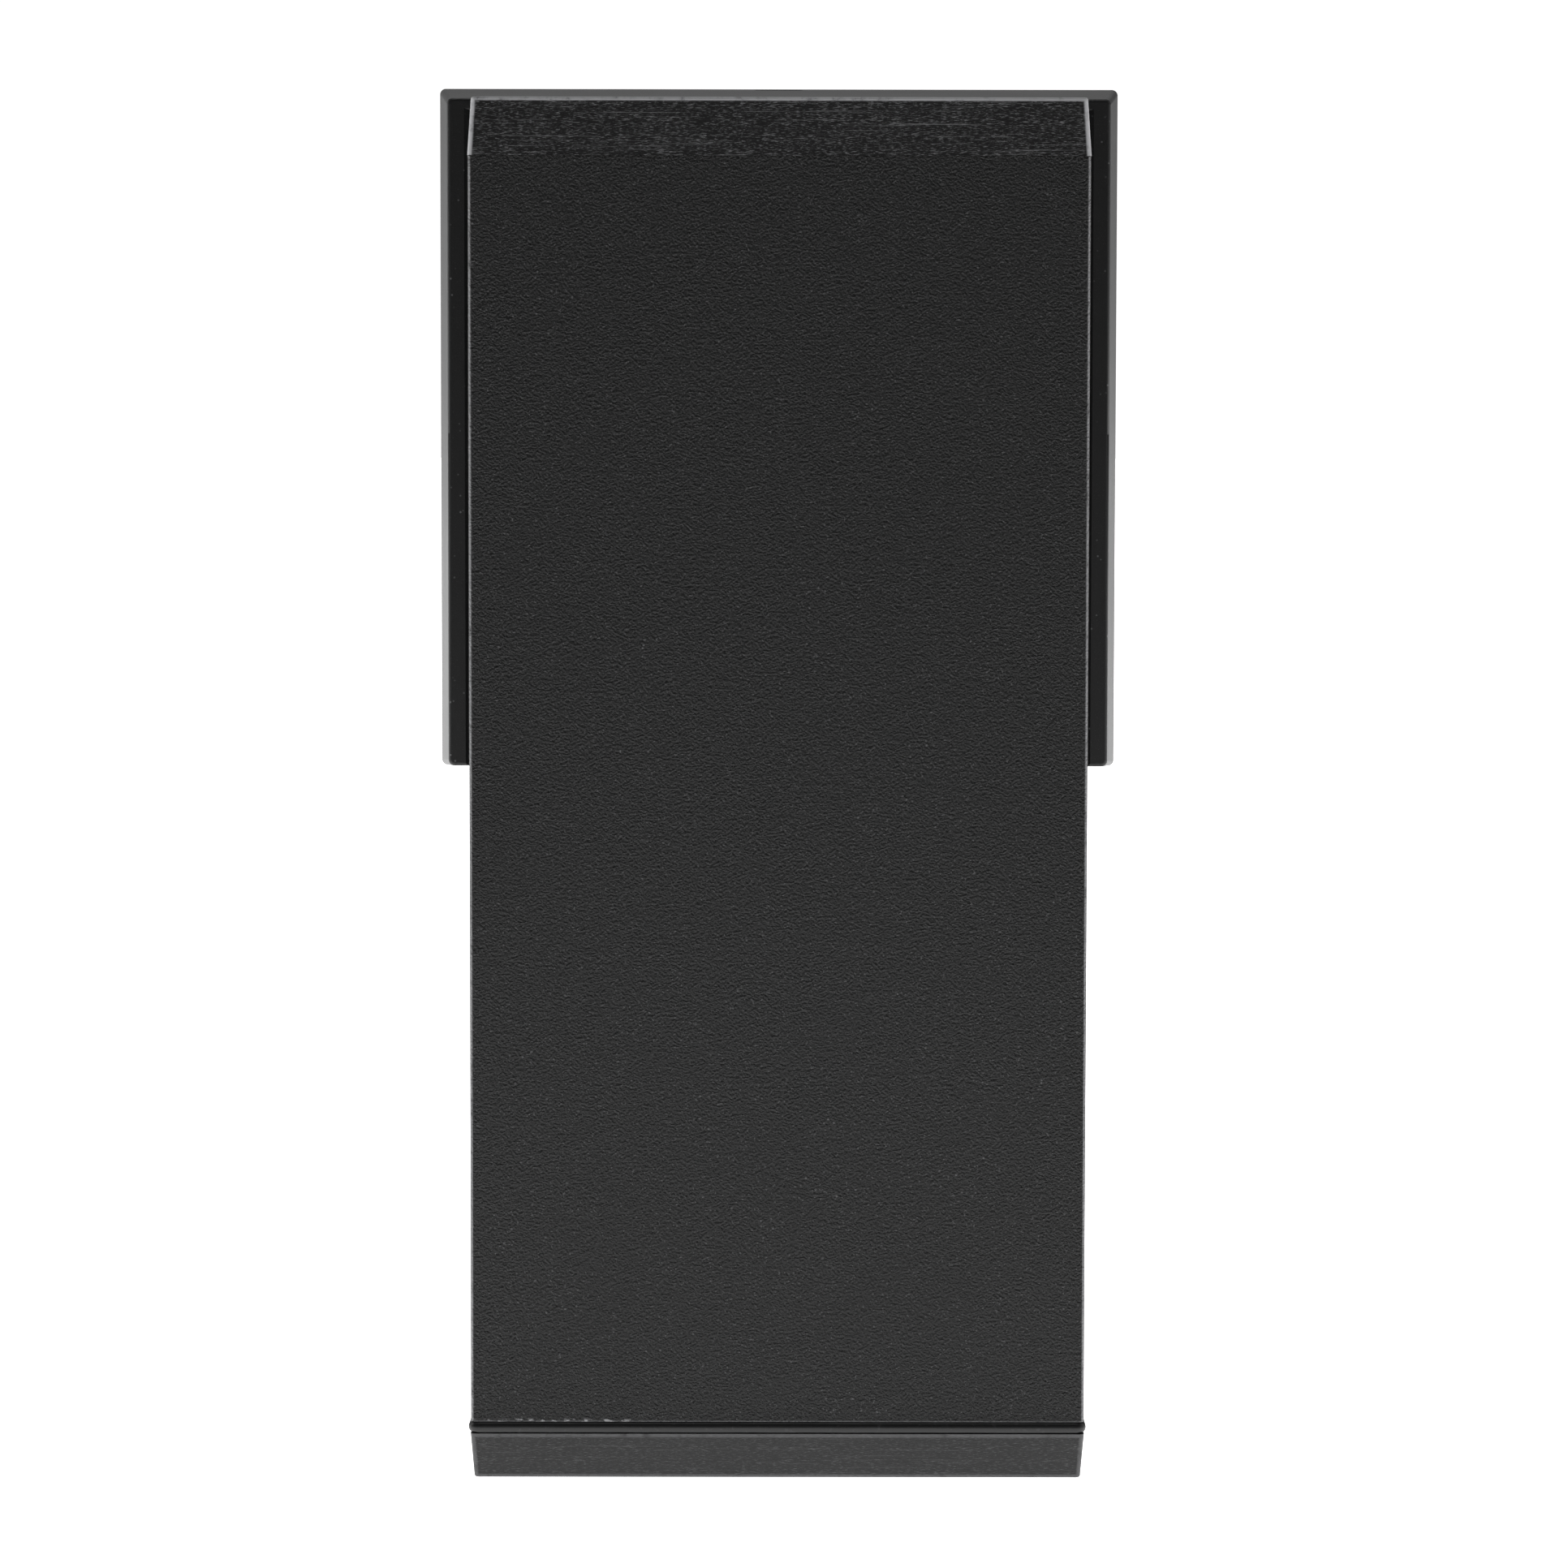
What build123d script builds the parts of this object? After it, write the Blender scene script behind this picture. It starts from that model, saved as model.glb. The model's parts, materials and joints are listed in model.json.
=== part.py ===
from build123d import *
import math
import os

# Two-way horn-loaded bookshelf speaker. Millimetres, X across, -Y the listening side, Z up.
# The origin is the middle of the footprint, on the surface that the base cap stands on.

# Driving dimensions of the cabinet
CABINET_WIDTH = 150.0
CABINET_DEPTH = 200.0
BASE_CAP_HEIGHT = 11.0
GASKET_HEIGHT = 3.0
SLEEVE_HEIGHT = 308.0
TOP_CAP_HEIGHT = 14.0
PANEL = 12.0
BAFFLE_THICKNESS = 15.0
WRAP = 0.5
WRAP_CORNER = 1.2
CAP_OVERHANG = 0.1
CAP_DRAFT = 0.9
CAP_EDGE = 0.6
CAP_CORNER = 1.3
GASKET_BULGE = 0.7

# Driving dimensions of the horn and its housing
HOUSING_DEPTH = 50.0
HOUSING_PROUD = 15.0
MOUTH_SIZE = 188.4
HOUSING_BACK_WIDTH = 178.8
HOUSING_BACK_HEIGHT = 180.2
HOUSING_BACK_BOTTOM = 162.4
MOUTH_BOTTOM = 158.9
HORN_MOUTH = 160.0
HORN_THROAT = 25.0
HORN_LENGTH = 98.0
HORN_WALL = 3.0
HORN_FLANGE = 172.0
FLANGE_THICKNESS = 3.0

# Driving dimensions of the woofer
WOOFER_Z = 84.0
WOOFER_RADIUS = 68.0
WOOFER_SCREW_CIRCLE = 62.5
CONE_RADIUS = 46.0
COIL_RADIUS = 13.0

# Driving dimensions of the terminals
TERMINAL_Y = 20.0
POST_SPACING = 19.0
POST_RADIUS = 3.0
SOCKET_RADIUS = 2.0
SOCKET_LENGTH = 18.0
POST_TIP_Z = 12.0
POST_CAP_Z = 13.0
POST_CAP_LENGTH = 13.0
CUP_CEILING_Z = 34.0

# Clearances
FIT = 0.35
SCREW_CLEARANCE = 0.05
RUNNING_CLEARANCE = 0.06

# Levels that follow
SLEEVE_BOTTOM = BASE_CAP_HEIGHT + GASKET_HEIGHT
SLEEVE_TOP = SLEEVE_BOTTOM + SLEEVE_HEIGHT
CABINET_TOP = SLEEVE_TOP + TOP_CAP_HEIGHT
OVERALL_DEPTH = CABINET_DEPTH + HOUSING_PROUD + GASKET_BULGE
MOUTH_Y = -OVERALL_DEPTH / 2
REAR_Y = OVERALL_DEPTH / 2 - GASKET_BULGE
BAFFLE_Y = REAR_Y - CABINET_DEPTH
BAFFLE_BACK_Y = BAFFLE_Y + BAFFLE_THICKNESS
HOUSING_BACK_Y = MOUTH_Y + HOUSING_DEPTH
HORN_Z = MOUTH_BOTTOM + MOUTH_SIZE / 2
THROAT_Y = MOUTH_Y + HORN_LENGTH
HALF_WIDTH = CABINET_WIDTH / 2
INNER_HALF_WIDTH = HALF_WIDTH - WRAP - PANEL
INNER_REAR_Y = REAR_Y - WRAP - PANEL
BRACE_Z = 160.0
CORNERS = [(-1, -1), (1, -1), (1, 1), (-1, 1)]


def block(x0, x1, y0, y1, z0, z1):
    """A box given by its two corners."""
    centre = Pos((x0 + x1) / 2, (y0 + y1) / 2, (z0 + z1) / 2)
    return centre * Box(x1 - x0, y1 - y0, z1 - z0)


def rod_y(radius, y0, y1, x=0.0, z=0.0):
    """A cylinder along Y."""
    return Pos(x, (y0 + y1) / 2, z) * Rot(90, 0, 0) * Cylinder(radius, y1 - y0)


def rod_x(radius, x0, x1, y=0.0, z=0.0):
    """A cylinder along X."""
    return Pos((x0 + x1) / 2, y, z) * Rot(0, 90, 0) * Cylinder(radius, x1 - x0)


def rod_z(radius, z0, z1, x=0.0, y=0.0):
    """An upright cylinder."""
    return Pos(x, y, (z0 + z1) / 2) * Cylinder(radius, z1 - z0)


def ring_y(outer, inner, y0, y1, z=0.0):
    """A flat ring about an axis along Y."""
    return rod_y(outer, y0, y1, 0, z) - rod_y(inner, y0 - 1, y1 + 1, 0, z)


def spun_y(profile, z):
    """Turns a closed outline of (radius, y) points about an axis along Y."""
    outline = make_face(Polyline(*profile, close=True))
    return Pos(0, 0, z) * revolve(outline, Axis.Y, 360)


def facing_front(y, z):
    """A drawing plane that looks towards the listener, upright in Z."""
    return Plane(origin=(0, y, z), x_dir=(1, 0, 0), z_dir=(0, -1, 0))


def slab_y(width, height, corner, y0, y1, z):
    """A plate with rounded corners, standing in the XZ plane."""
    return extrude(facing_front(y1, z) * RectangleRounded(width, height, corner), y1 - y0)


def rectangle_at(z, x0, x1, y0, y1):
    """A level rectangle given by its corners."""
    return Pos((x0 + x1) / 2, (y0 + y1) / 2, z) * Rectangle(x1 - x0, y1 - y0)


def around(radius, count, first_angle=0.0):
    """The (x, z) offsets of points spaced evenly on a circle."""
    turn = 2 * math.pi / count
    start = math.radians(first_angle)
    angles = [start + k * turn for k in range(count)]
    return [(radius * math.cos(angle), radius * math.sin(angle)) for angle in angles]


def solids_of(pieces):
    """Separate solids that share one node."""
    return Compound(children=[solid for piece in pieces for solid in piece.solids()])


# ---- Cabinet -----------------------------------------------------------------------------------

BATTEN_SIZE = 15.0
BATTEN_HEIGHT = 40.0
BATTEN_X = INNER_HALF_WIDTH - BATTEN_SIZE / 2
BATTEN_YS = [BAFFLE_BACK_Y + BATTEN_SIZE / 2, INNER_REAR_Y - BATTEN_SIZE / 2]
BATTEN_PLACES = [(side * BATTEN_X, y) for side in (-1, 1) for y in BATTEN_YS]
BASE_SCREW_RADIUS = 2.0
BASE_SCREW_HEAD = 4.0
BASE_SCREW_LENGTH = 34.0
INSERT_SPACING_X = 100.0
INSERT_SPACING_Y = 110.0
INSERT_RADIUS = 4.5
INSERT_BORE = 2.5
INSERT_DEPTH = 9.0
INSERT_PLACES = [(sx * INSERT_SPACING_X / 2, sy * INSERT_SPACING_Y / 2) for sx, sy in CORNERS]
CUP_FLANGE = (70.0, 56.0)
CUP_BODY = (60.0, 46.0)
CUP_RECESS = 2.0
CUP_FLANGE_THICKNESS = 3.0
CHANNEL_WIDTH = 12.0
CHANNEL_HEIGHT = 7.0
HOUSING_SCREW_Y = BAFFLE_BACK_Y + 11.0
HOUSING_SCREW_RADIUS = 2.0
HOUSING_SCREW_REACH = 10.0
HOUSING_SCREW_ZS = [HORN_Z - 50.0, HORN_Z + 50.0]


def housing_screw_places():
    return [(side, z) for side in (-1, 1) for z in HOUSING_SCREW_ZS]


def side_panel(side):
    """One upright board; its rear outer edge is eased so that the wrap goes round it."""
    outer = HALF_WIDTH - WRAP
    panel = block(INNER_HALF_WIDTH, outer, BAFFLE_BACK_Y, REAR_Y - WRAP, SLEEVE_BOTTOM, SLEEVE_TOP)
    edge = panel.edges().filter_by(Axis.Z).group_by(Axis.X)[-1].sort_by(Axis.Y)[-1]
    panel = fillet(edge, WRAP_CORNER - WRAP)
    for screw_side, z in housing_screw_places():
        if screw_side == side:
            panel -= rod_x(HOUSING_SCREW_RADIUS + SCREW_CLEARANCE, 50, 90, HOUSING_SCREW_Y, z)
    return panel if side > 0 else mirror(panel, about=Plane.YZ)


def back_panel():
    x = INNER_HALF_WIDTH
    return block(-x, x, INNER_REAR_Y, REAR_Y - WRAP, SLEEVE_BOTTOM, SLEEVE_TOP)


def vinyl_wrap():
    """A thin skin round both sides and the back, in one sheet."""
    outer = block(-HALF_WIDTH, HALF_WIDTH, BAFFLE_BACK_Y, REAR_Y, SLEEVE_BOTTOM, SLEEVE_TOP)
    outer = fillet(outer.edges().filter_by(Axis.Z).group_by(Axis.Y)[-1], WRAP_CORNER)
    x = HALF_WIDTH - WRAP
    inner = block(-x, x, BAFFLE_BACK_Y - 40, REAR_Y - WRAP, SLEEVE_BOTTOM - 1, SLEEVE_TOP + 1)
    inner = fillet(inner.edges().filter_by(Axis.Z).group_by(Axis.Y)[-1], WRAP_CORNER - WRAP)
    wrap = outer - inner
    for side, z in housing_screw_places():
        near, far = sorted((side * 70, side * 80))
        wrap -= rod_x(HOUSING_SCREW_RADIUS + SCREW_CLEARANCE, near, far, HOUSING_SCREW_Y, z)
    return wrap


def front_baffle():
    """The painted front board, cut for the woofer and for the horn."""
    board = block(-HALF_WIDTH, HALF_WIDTH, BAFFLE_Y, BAFFLE_BACK_Y, SLEEVE_BOTTOM, SLEEVE_TOP)
    board = fillet(board.edges().filter_by(Axis.Z).group_by(Axis.Y)[0], WRAP_CORNER)
    board -= rod_y(WOOFER_RADIUS + 0.3, BAFFLE_Y - 1, BAFFLE_Y + WOOFER_REBATE, 0, WOOFER_Z)
    board -= rod_y(WOOFER_CUTOUT, BAFFLE_Y, BAFFLE_BACK_Y + 1, 0, WOOFER_Z)
    board -= slab_y(HORN_CUTOUT, HORN_CUTOUT, 10, BAFFLE_Y - 1, BAFFLE_BACK_Y + 1, HORN_Z)
    for x, z in around(WOOFER_SCREW_CIRCLE, WOOFER_SCREWS, 30):
        board -= rod_y(WOOFER_SCREW_RADIUS + SCREW_CLEARANCE, BAFFLE_Y, BAFFLE_BACK_Y + 1, x, WOOFER_Z + z)
    return board


def drafted_board(z_wide, z_narrow):
    """A cap board whose sides draw in towards its free face."""
    front, rear = BAFFLE_Y, REAR_Y + CAP_OVERHANG
    x = HALF_WIDTH + CAP_OVERHANG
    wide = rectangle_at(z_wide, -x, x, front, rear)
    narrow = rectangle_at(z_narrow, -x + CAP_DRAFT, x - CAP_DRAFT, front + CAP_DRAFT, rear - CAP_DRAFT)
    board = loft([wide, narrow], ruled=True)
    uprights = board.edges().filter_by(lambda edge: abs(edge.tangent_at(0.5).Z) > 0.9)
    board = fillet(uprights, CAP_CORNER)
    sign = 1 if z_narrow > z_wide else -1
    free_face = board.faces().sort_by(Axis.Z)[-1 if sign > 0 else 0]
    return fillet(free_face.edges(), CAP_EDGE)


def top_cap():
    return drafted_board(SLEEVE_TOP, CABINET_TOP)


def cable_channel():
    """The way out of the terminal recess, under the base to its right-hand side."""
    half = CHANNEL_WIDTH / 2
    y0, y1 = TERMINAL_Y - half, TERMINAL_Y + half
    return block(CUP_BODY[0] / 2 - 5, HALF_WIDTH + 2, y0, y1, -1, CHANNEL_HEIGHT)


def base_cap():
    """The removable bottom board, rebated for the terminal cup and bored for the stand inserts."""
    board = drafted_board(BASE_CAP_HEIGHT, 0.0)
    flange_x, flange_y = (size / 2 + FIT for size in CUP_FLANGE)
    body_x, body_y = (size / 2 + FIT for size in CUP_BODY)
    rebate_top = CUP_RECESS + CUP_FLANGE_THICKNESS
    board -= block(-flange_x, flange_x, TERMINAL_Y - flange_y, TERMINAL_Y + flange_y, -1, rebate_top)
    board -= block(-body_x, body_x, TERMINAL_Y - body_y, TERMINAL_Y + body_y, -1, BASE_CAP_HEIGHT + 1)
    board -= cable_channel()
    for x, y in BATTEN_PLACES:
        board -= rod_z(BASE_SCREW_RADIUS + SCREW_CLEARANCE, -1, BASE_CAP_HEIGHT + 1, x, y)
        board -= rod_z(BASE_SCREW_HEAD + 0.4, -1, 3.2, x, y)
    for x, y in INSERT_PLACES:
        board -= rod_z(INSERT_RADIUS + 0.02, -1, 0.4 + INSERT_DEPTH, x, y)
    for x, y in cup_screw_places():
        board -= rod_z(CUP_SCREW_RADIUS + SCREW_CLEARANCE, 0, 10.4, x, y)
    return board


def base_gasket():
    """A soft rubber ring between the sleeve and the base cap, squeezed out past both."""
    x = HALF_WIDTH + GASKET_BULGE
    front, rear = BAFFLE_Y - GASKET_BULGE, REAR_Y + GASKET_BULGE
    top = SLEEVE_BOTTOM - 0.01
    ring = block(-x, x, front, rear, BASE_CAP_HEIGHT, top)
    ring = fillet(ring.edges().filter_by(Axis.Z), 2.5)
    rims = ring.faces().filter_by(Axis.Z).sort_by(Axis.Z)
    ring = fillet(rims[0].edges() + rims[-1].edges(), 1.4)
    inner = INNER_HALF_WIDTH
    hole = block(-inner, inner, BAFFLE_BACK_Y, INNER_REAR_Y, BASE_CAP_HEIGHT - 1, SLEEVE_BOTTOM + 1)
    return ring - hole


def cabinet_brace():
    """A window brace across the cabinet, between the woofer and the horn."""
    x = INNER_HALF_WIDTH
    brace = block(-x, x, BAFFLE_BACK_Y, INNER_REAR_Y, BRACE_Z, BRACE_Z + PANEL)
    window = Pos(0, (BAFFLE_BACK_Y + INNER_REAR_Y) / 2, BRACE_Z) * RectangleRounded(88, 128, 14)
    return brace - extrude(window, PANEL)


def corner_battens():
    half = BATTEN_SIZE / 2
    battens = []
    for x, y in BATTEN_PLACES:
        top = SLEEVE_BOTTOM + BATTEN_HEIGHT
        batten = block(x - half, x + half, y - half, y + half, SLEEVE_BOTTOM, top)
        batten -= rod_z(BASE_SCREW_RADIUS + SCREW_CLEARANCE, 0, BASE_SCREW_LENGTH + 5, x, y)
        battens.append(batten)
    return solids_of(battens)


def countersunk_screw_z(radius, head, length, z, x, y):
    """An upright countersunk screw with its flat cross-slotted head down."""
    shank = rod_z(radius, z + 2, z + length, x, y)
    cone = Pos(x, y, z + 1.3) * Cone(head, radius, 2.0)
    screw = shank + cone + rod_z(head, z, z + 0.4, x, y)
    for half_x, half_y in ((0.6, 2.4), (2.4, 0.6)):
        screw -= block(x - half_x, x + half_x, y - half_y, y + half_y, z - 1, z + 1)
    return screw


def base_screws():
    size = (BASE_SCREW_RADIUS, BASE_SCREW_HEAD, BASE_SCREW_LENGTH)
    return solids_of([countersunk_screw_z(*size, 0.6, x, y) for x, y in BATTEN_PLACES])


def stand_inserts():
    """Threaded brass bushes for a stand or a wall arm, set into the underside."""
    inserts = []
    for x, y in INSERT_PLACES:
        insert = rod_z(INSERT_RADIUS, 0.4, 0.4 + INSERT_DEPTH, x, y)
        inserts.append(insert - rod_z(INSERT_BORE, 0, 0.4 + INSERT_DEPTH - 1, x, y))
    return solids_of(inserts)


# ---- Horn housing and horn ---------------------------------------------------------------------

HORN_CUTOUT = 130.0
HORN_SCREW_OFFSET = 81.0
HORN_SCREW_RADIUS = 1.5
HORN_SCREW_HEAD = 2.9
HORN_SECTIONS = 9
THROAT_PLATE_RADIUS = 35.0
THROAT_PLATE_THICKNESS = 7.0


def horn_housing():
    """A square hood, wider than the cabinet, that grips its front and flares to the mouth."""
    back_z = HOUSING_BACK_BOTTOM + HOUSING_BACK_HEIGHT / 2
    back_outline = RectangleRounded(HOUSING_BACK_WIDTH, HOUSING_BACK_HEIGHT, 1.6)
    back = facing_front(HOUSING_BACK_Y, back_z) * back_outline
    mouth = facing_front(MOUTH_Y, HORN_Z) * RectangleRounded(MOUTH_SIZE, MOUTH_SIZE, 1.6)
    hood = loft([back, mouth], ruled=True)
    ends = hood.faces().sort_by(Axis.Y)
    hood = fillet(ends[0].edges() + ends[-1].edges(), 0.9)

    slot_x, slot_top, valley = HALF_WIDTH + FIT, CABINET_TOP + FIT, 4.0
    low = HOUSING_BACK_BOTTOM - 60
    hood -= block(-slot_x, slot_x, BAFFLE_Y, HOUSING_BACK_Y + 1, low, slot_top)
    middle = (low + slot_top) / 2
    deep = facing_front(HOUSING_BACK_Y - valley, middle) * Rectangle(2 * slot_x, slot_top - low)
    lip_x, lip_top = 84.8, slot_top + 3.6
    shallow = facing_front(HOUSING_BACK_Y, (low + lip_top) / 2) * Rectangle(2 * lip_x, lip_top - low)
    hood -= loft([deep, shallow], ruled=True)

    seat = HORN_FLANGE + 0.6
    hood -= slab_y(seat, seat, 4, MOUTH_Y - 1, MOUTH_Y + FLANGE_THICKNESS, HORN_Z)
    hood -= slab_y(158.8, 158.8, 12, MOUTH_Y - 1, BAFFLE_Y + 1, HORN_Z)
    for sx, sz in CORNERS:
        x, z = sx * HORN_SCREW_OFFSET, HORN_Z + sz * HORN_SCREW_OFFSET
        hood -= rod_y(HORN_SCREW_RADIUS + SCREW_CLEARANCE, MOUTH_Y, MOUTH_Y + 11, x, z)
    for side, z in housing_screw_places():
        near, far = sorted((side * 70, side * (HALF_WIDTH + HOUSING_SCREW_REACH)))
        hood -= rod_x(HOUSING_SCREW_RADIUS + SCREW_CLEARANCE, near, far, HOUSING_SCREW_Y, z)

    pull = Pos(0, MOUTH_Y + 5, MOUTH_BOTTOM + MOUTH_SIZE - 1.2) * extrude(SlotOverall(13.5, 3.0), 4)
    return hood - pull


def horn_section(distance, wall):
    """The horn's section at a distance behind its mouth: square at the mouth, round at the throat."""
    half = HORN_MOUTH / 2 * math.exp(-math.log(HORN_MOUTH / HORN_THROAT) * distance / HORN_LENGTH)
    roundness = 0.12 + 0.86 * (distance / HORN_LENGTH) ** 1.3
    size = 2 * (half + wall)
    sketch = RectangleRounded(size, size, half * roundness + wall * 0.98)
    return facing_front(MOUTH_Y + distance, HORN_Z) * sketch


def horn_flare():
    """The moulded horn: an exponential flare, its flange and the plate that carries the driver."""
    stations = [HORN_LENGTH * k / (HORN_SECTIONS - 1) for k in range(HORN_SECTIONS)]
    outside = loft([horn_section(d, HORN_WALL) for d in stations])
    inside = loft([horn_section(d, 0.0) for d in stations])
    body = outside & block(-90, 90, MOUTH_Y + 1, THROAT_Y, HORN_Z - 90, HORN_Z + 90)
    body += slab_y(HORN_FLANGE, HORN_FLANGE, 3.7, MOUTH_Y, MOUTH_Y + FLANGE_THICKNESS, HORN_Z)
    body += rod_y(THROAT_PLATE_RADIUS, THROAT_Y - THROAT_PLATE_THICKNESS, THROAT_Y, 0, HORN_Z)
    body -= inside
    for x, z in around(DRIVER_SCREW_CIRCLE, DRIVER_SCREWS, 45):
        body -= rod_y(DRIVER_SCREW_RADIUS + SCREW_CLEARANCE, THROAT_Y - 20, THROAT_Y + 1, x, HORN_Z + z)
    for sx, sz in CORNERS:
        x, z = sx * HORN_SCREW_OFFSET, HORN_Z + sz * HORN_SCREW_OFFSET
        body -= rod_y(HORN_SCREW_RADIUS + SCREW_CLEARANCE, MOUTH_Y - 1, MOUTH_Y + 9, x, z)
        body -= rod_y(HORN_SCREW_HEAD + 0.2, MOUTH_Y - 1, MOUTH_Y + 1.6, x, z)
    return body


def socket_screw_y(radius, head, head_height, y_seat, length, x, z):
    """A hex-socket screw whose head faces the listener; its seat is at y_seat."""
    screw = rod_y(head, y_seat - head_height, y_seat, x, z) + rod_y(radius, y_seat, y_seat + length, x, z)
    key = Plane(origin=(x, y_seat - head_height * 0.35, z), x_dir=(1, 0, 0), z_dir=(0, -1, 0))
    return screw - extrude(key * RegularPolygon(head * 0.5, 6), head_height)


def horn_screws():
    screws = []
    for sx, sz in CORNERS:
        x, z = sx * HORN_SCREW_OFFSET, HORN_Z + sz * HORN_SCREW_OFFSET
        screws.append(socket_screw_y(HORN_SCREW_RADIUS, HORN_SCREW_HEAD, 1.4, MOUTH_Y + 1.6, 9, x, z))
    return solids_of(screws)


def housing_screws():
    """Screws from inside the cabinet, through the side panels into the housing's flanks."""
    screws = []
    for side, z in housing_screw_places():
        shank_end = side * (HALF_WIDTH + HOUSING_SCREW_REACH - 1)
        seat, crown = side * INNER_HALF_WIDTH, side * (INNER_HALF_WIDTH - 2.5)
        shank = rod_x(HOUSING_SCREW_RADIUS, *sorted((seat, shank_end)), HOUSING_SCREW_Y, z)
        screws.append(shank + rod_x(4.0, *sorted((crown, seat)), HOUSING_SCREW_Y, z))
    return solids_of(screws)


# ---- Compression driver ------------------------------------------------------------------------

DRIVER_SCREWS = 4
DRIVER_SCREW_CIRCLE = 29.0
DRIVER_SCREW_RADIUS = 2.0
DRIVER_GASKET = 1.0
DRIVER_RADIUS = 44.0
YOKE_Y = THROAT_Y + DRIVER_GASKET
YOKE_PLATE = 6.0
DRIVER_MAGNET_LENGTH = 16.0
TOP_PLATE_Y = YOKE_Y + YOKE_PLATE + DRIVER_MAGNET_LENGTH
TOP_PLATE_THICKNESS = 6.0
POLE_RADIUS = 21.5
POLE_END_Y = TOP_PLATE_Y + 4.0
DOME_RADIUS = 22.3
DOME_Y = TOP_PLATE_Y + TOP_PLATE_THICKNESS + 3.2
DOME_THICKNESS = 0.4
COVER_Y = DOME_Y + 0.5
COVER_LENGTH = 20.0


def driver_gasket():
    gasket = ring_y(THROAT_PLATE_RADIUS, HORN_THROAT / 2 + 0.5, THROAT_Y, YOKE_Y, HORN_Z)
    for x, z in around(DRIVER_SCREW_CIRCLE, DRIVER_SCREWS, 45):
        gasket -= rod_y(DRIVER_SCREW_RADIUS + 0.2, THROAT_Y - 1, YOKE_Y + 1, x, HORN_Z + z)
    return gasket


def driver_yoke():
    """The front plate and pole in one turned piece, bored through as the start of the horn."""
    yoke = rod_y(DRIVER_RADIUS - 2, YOKE_Y, YOKE_Y + YOKE_PLATE, 0, HORN_Z)
    yoke += rod_y(POLE_RADIUS, YOKE_Y, POLE_END_Y, 0, HORN_Z)
    yoke -= rod_y(HORN_THROAT / 2, YOKE_Y - 1, POLE_END_Y + 1, 0, HORN_Z)
    for x, z in around(DRIVER_SCREW_CIRCLE, DRIVER_SCREWS, 45):
        yoke -= rod_y(DRIVER_SCREW_RADIUS + SCREW_CLEARANCE, YOKE_Y - 1, YOKE_Y + 5, x, HORN_Z + z)
    return yoke


def driver_magnet():
    return ring_y(DRIVER_RADIUS, 29, YOKE_Y + YOKE_PLATE, TOP_PLATE_Y, HORN_Z)


def driver_top_plate():
    return ring_y(DRIVER_RADIUS - 2, 22.9, TOP_PLATE_Y, TOP_PLATE_Y + TOP_PLATE_THICKNESS, HORN_Z)


def phase_plug():
    """A domed disc with one ring slot, and a bullet that points down the throat."""
    top = POLE_END_Y + 3.0
    outline = [(0, POLE_END_Y - 14), (3, POLE_END_Y - 8), (6, POLE_END_Y), (POLE_RADIUS - 0.3, POLE_END_Y)]
    outline += [(POLE_RADIUS - 0.3, top), (14, top + 3), (7, top + 4.6), (0, top + 5)]
    plug = spun_y(outline, HORN_Z)
    slot = ring_y(11.5, 9.0, POLE_END_Y - 2, top + 8, HORN_Z)
    for angle in (90, 210, 330):
        web = Pos(10, (POLE_END_Y + top) / 2, 0) * Box(6, top - POLE_END_Y + 12, 2)
        slot -= Pos(0, 0, HORN_Z) * Rot(0, angle, 0) * web
    return plug - slot


def tweeter_dome():
    """The diaphragm, a thin dome with its convex side away from the horn."""
    height = 9.0
    outer = (DOME_RADIUS**2 + height**2) / (2 * height)
    centre = DOME_Y + height - outer
    ball = Pos(0, centre, HORN_Z) * Sphere(outer) - Pos(0, centre, HORN_Z) * Sphere(outer - DOME_THICKNESS)
    return ball & rod_y(DOME_RADIUS, DOME_Y, DOME_Y + height + 1, 0, HORN_Z)


def tweeter_voice_coil():
    return ring_y(DOME_RADIUS, DOME_RADIUS - 0.45, TOP_PLATE_Y + 0.5, DOME_Y, HORN_Z)


def tweeter_surround():
    """The flexible edge of the dome, clamped under the back cover."""
    y0, y1 = DOME_Y - 0.1, COVER_Y
    return ring_y(34, DOME_RADIUS + 0.3, y0, y1, HORN_Z)


def driver_back_cover():
    """A moulded cap over the diaphragm; its rim stands on the top plate."""
    end = COVER_Y + COVER_LENGTH
    cover = rod_y(DRIVER_RADIUS, TOP_PLATE_Y + TOP_PLATE_THICKNESS, end, 0, HORN_Z)
    cover = fillet(cover.edges().group_by(Axis.Y)[-1], 4)
    cover -= rod_y(29, TOP_PLATE_Y, COVER_Y + COVER_LENGTH - 3, 0, HORN_Z)
    return cover - rod_y(34.05, DOME_Y - 0.1, COVER_Y, 0, HORN_Z)


def driver_screws():
    size = (DRIVER_SCREW_RADIUS, 3.4, 3, THROAT_Y - THROAT_PLATE_THICKNESS, 12)
    places = around(DRIVER_SCREW_CIRCLE, DRIVER_SCREWS, 45)
    return solids_of([socket_screw_y(*size, x, HORN_Z + z) for x, z in places])


# ---- Woofer ------------------------------------------------------------------------------------

WOOFER_SCREWS = 6
WOOFER_SCREW_RADIUS = 2.0
WOOFER_GASKET = 1.0
WOOFER_FLANGE_BACK = BAFFLE_Y + 3.0
WOOFER_FLANGE_FRONT = BAFFLE_Y - 2.0
WOOFER_REBATE = 3.0 + WOOFER_GASKET
WOOFER_CUTOUT = 59.0
BASKET_BACK = BAFFLE_Y + 45.0
WOOFER_PLATE = 5.0
WOOFER_MAGNET_LENGTH = 14.0
WOOFER_YOKE_Y = BASKET_BACK + WOOFER_PLATE + WOOFER_MAGNET_LENGTH
CONE_EDGE_Y = BAFFLE_Y + 1.0
CONE_DEPTH = 23.0
CONE_THICKNESS = 0.8


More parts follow.
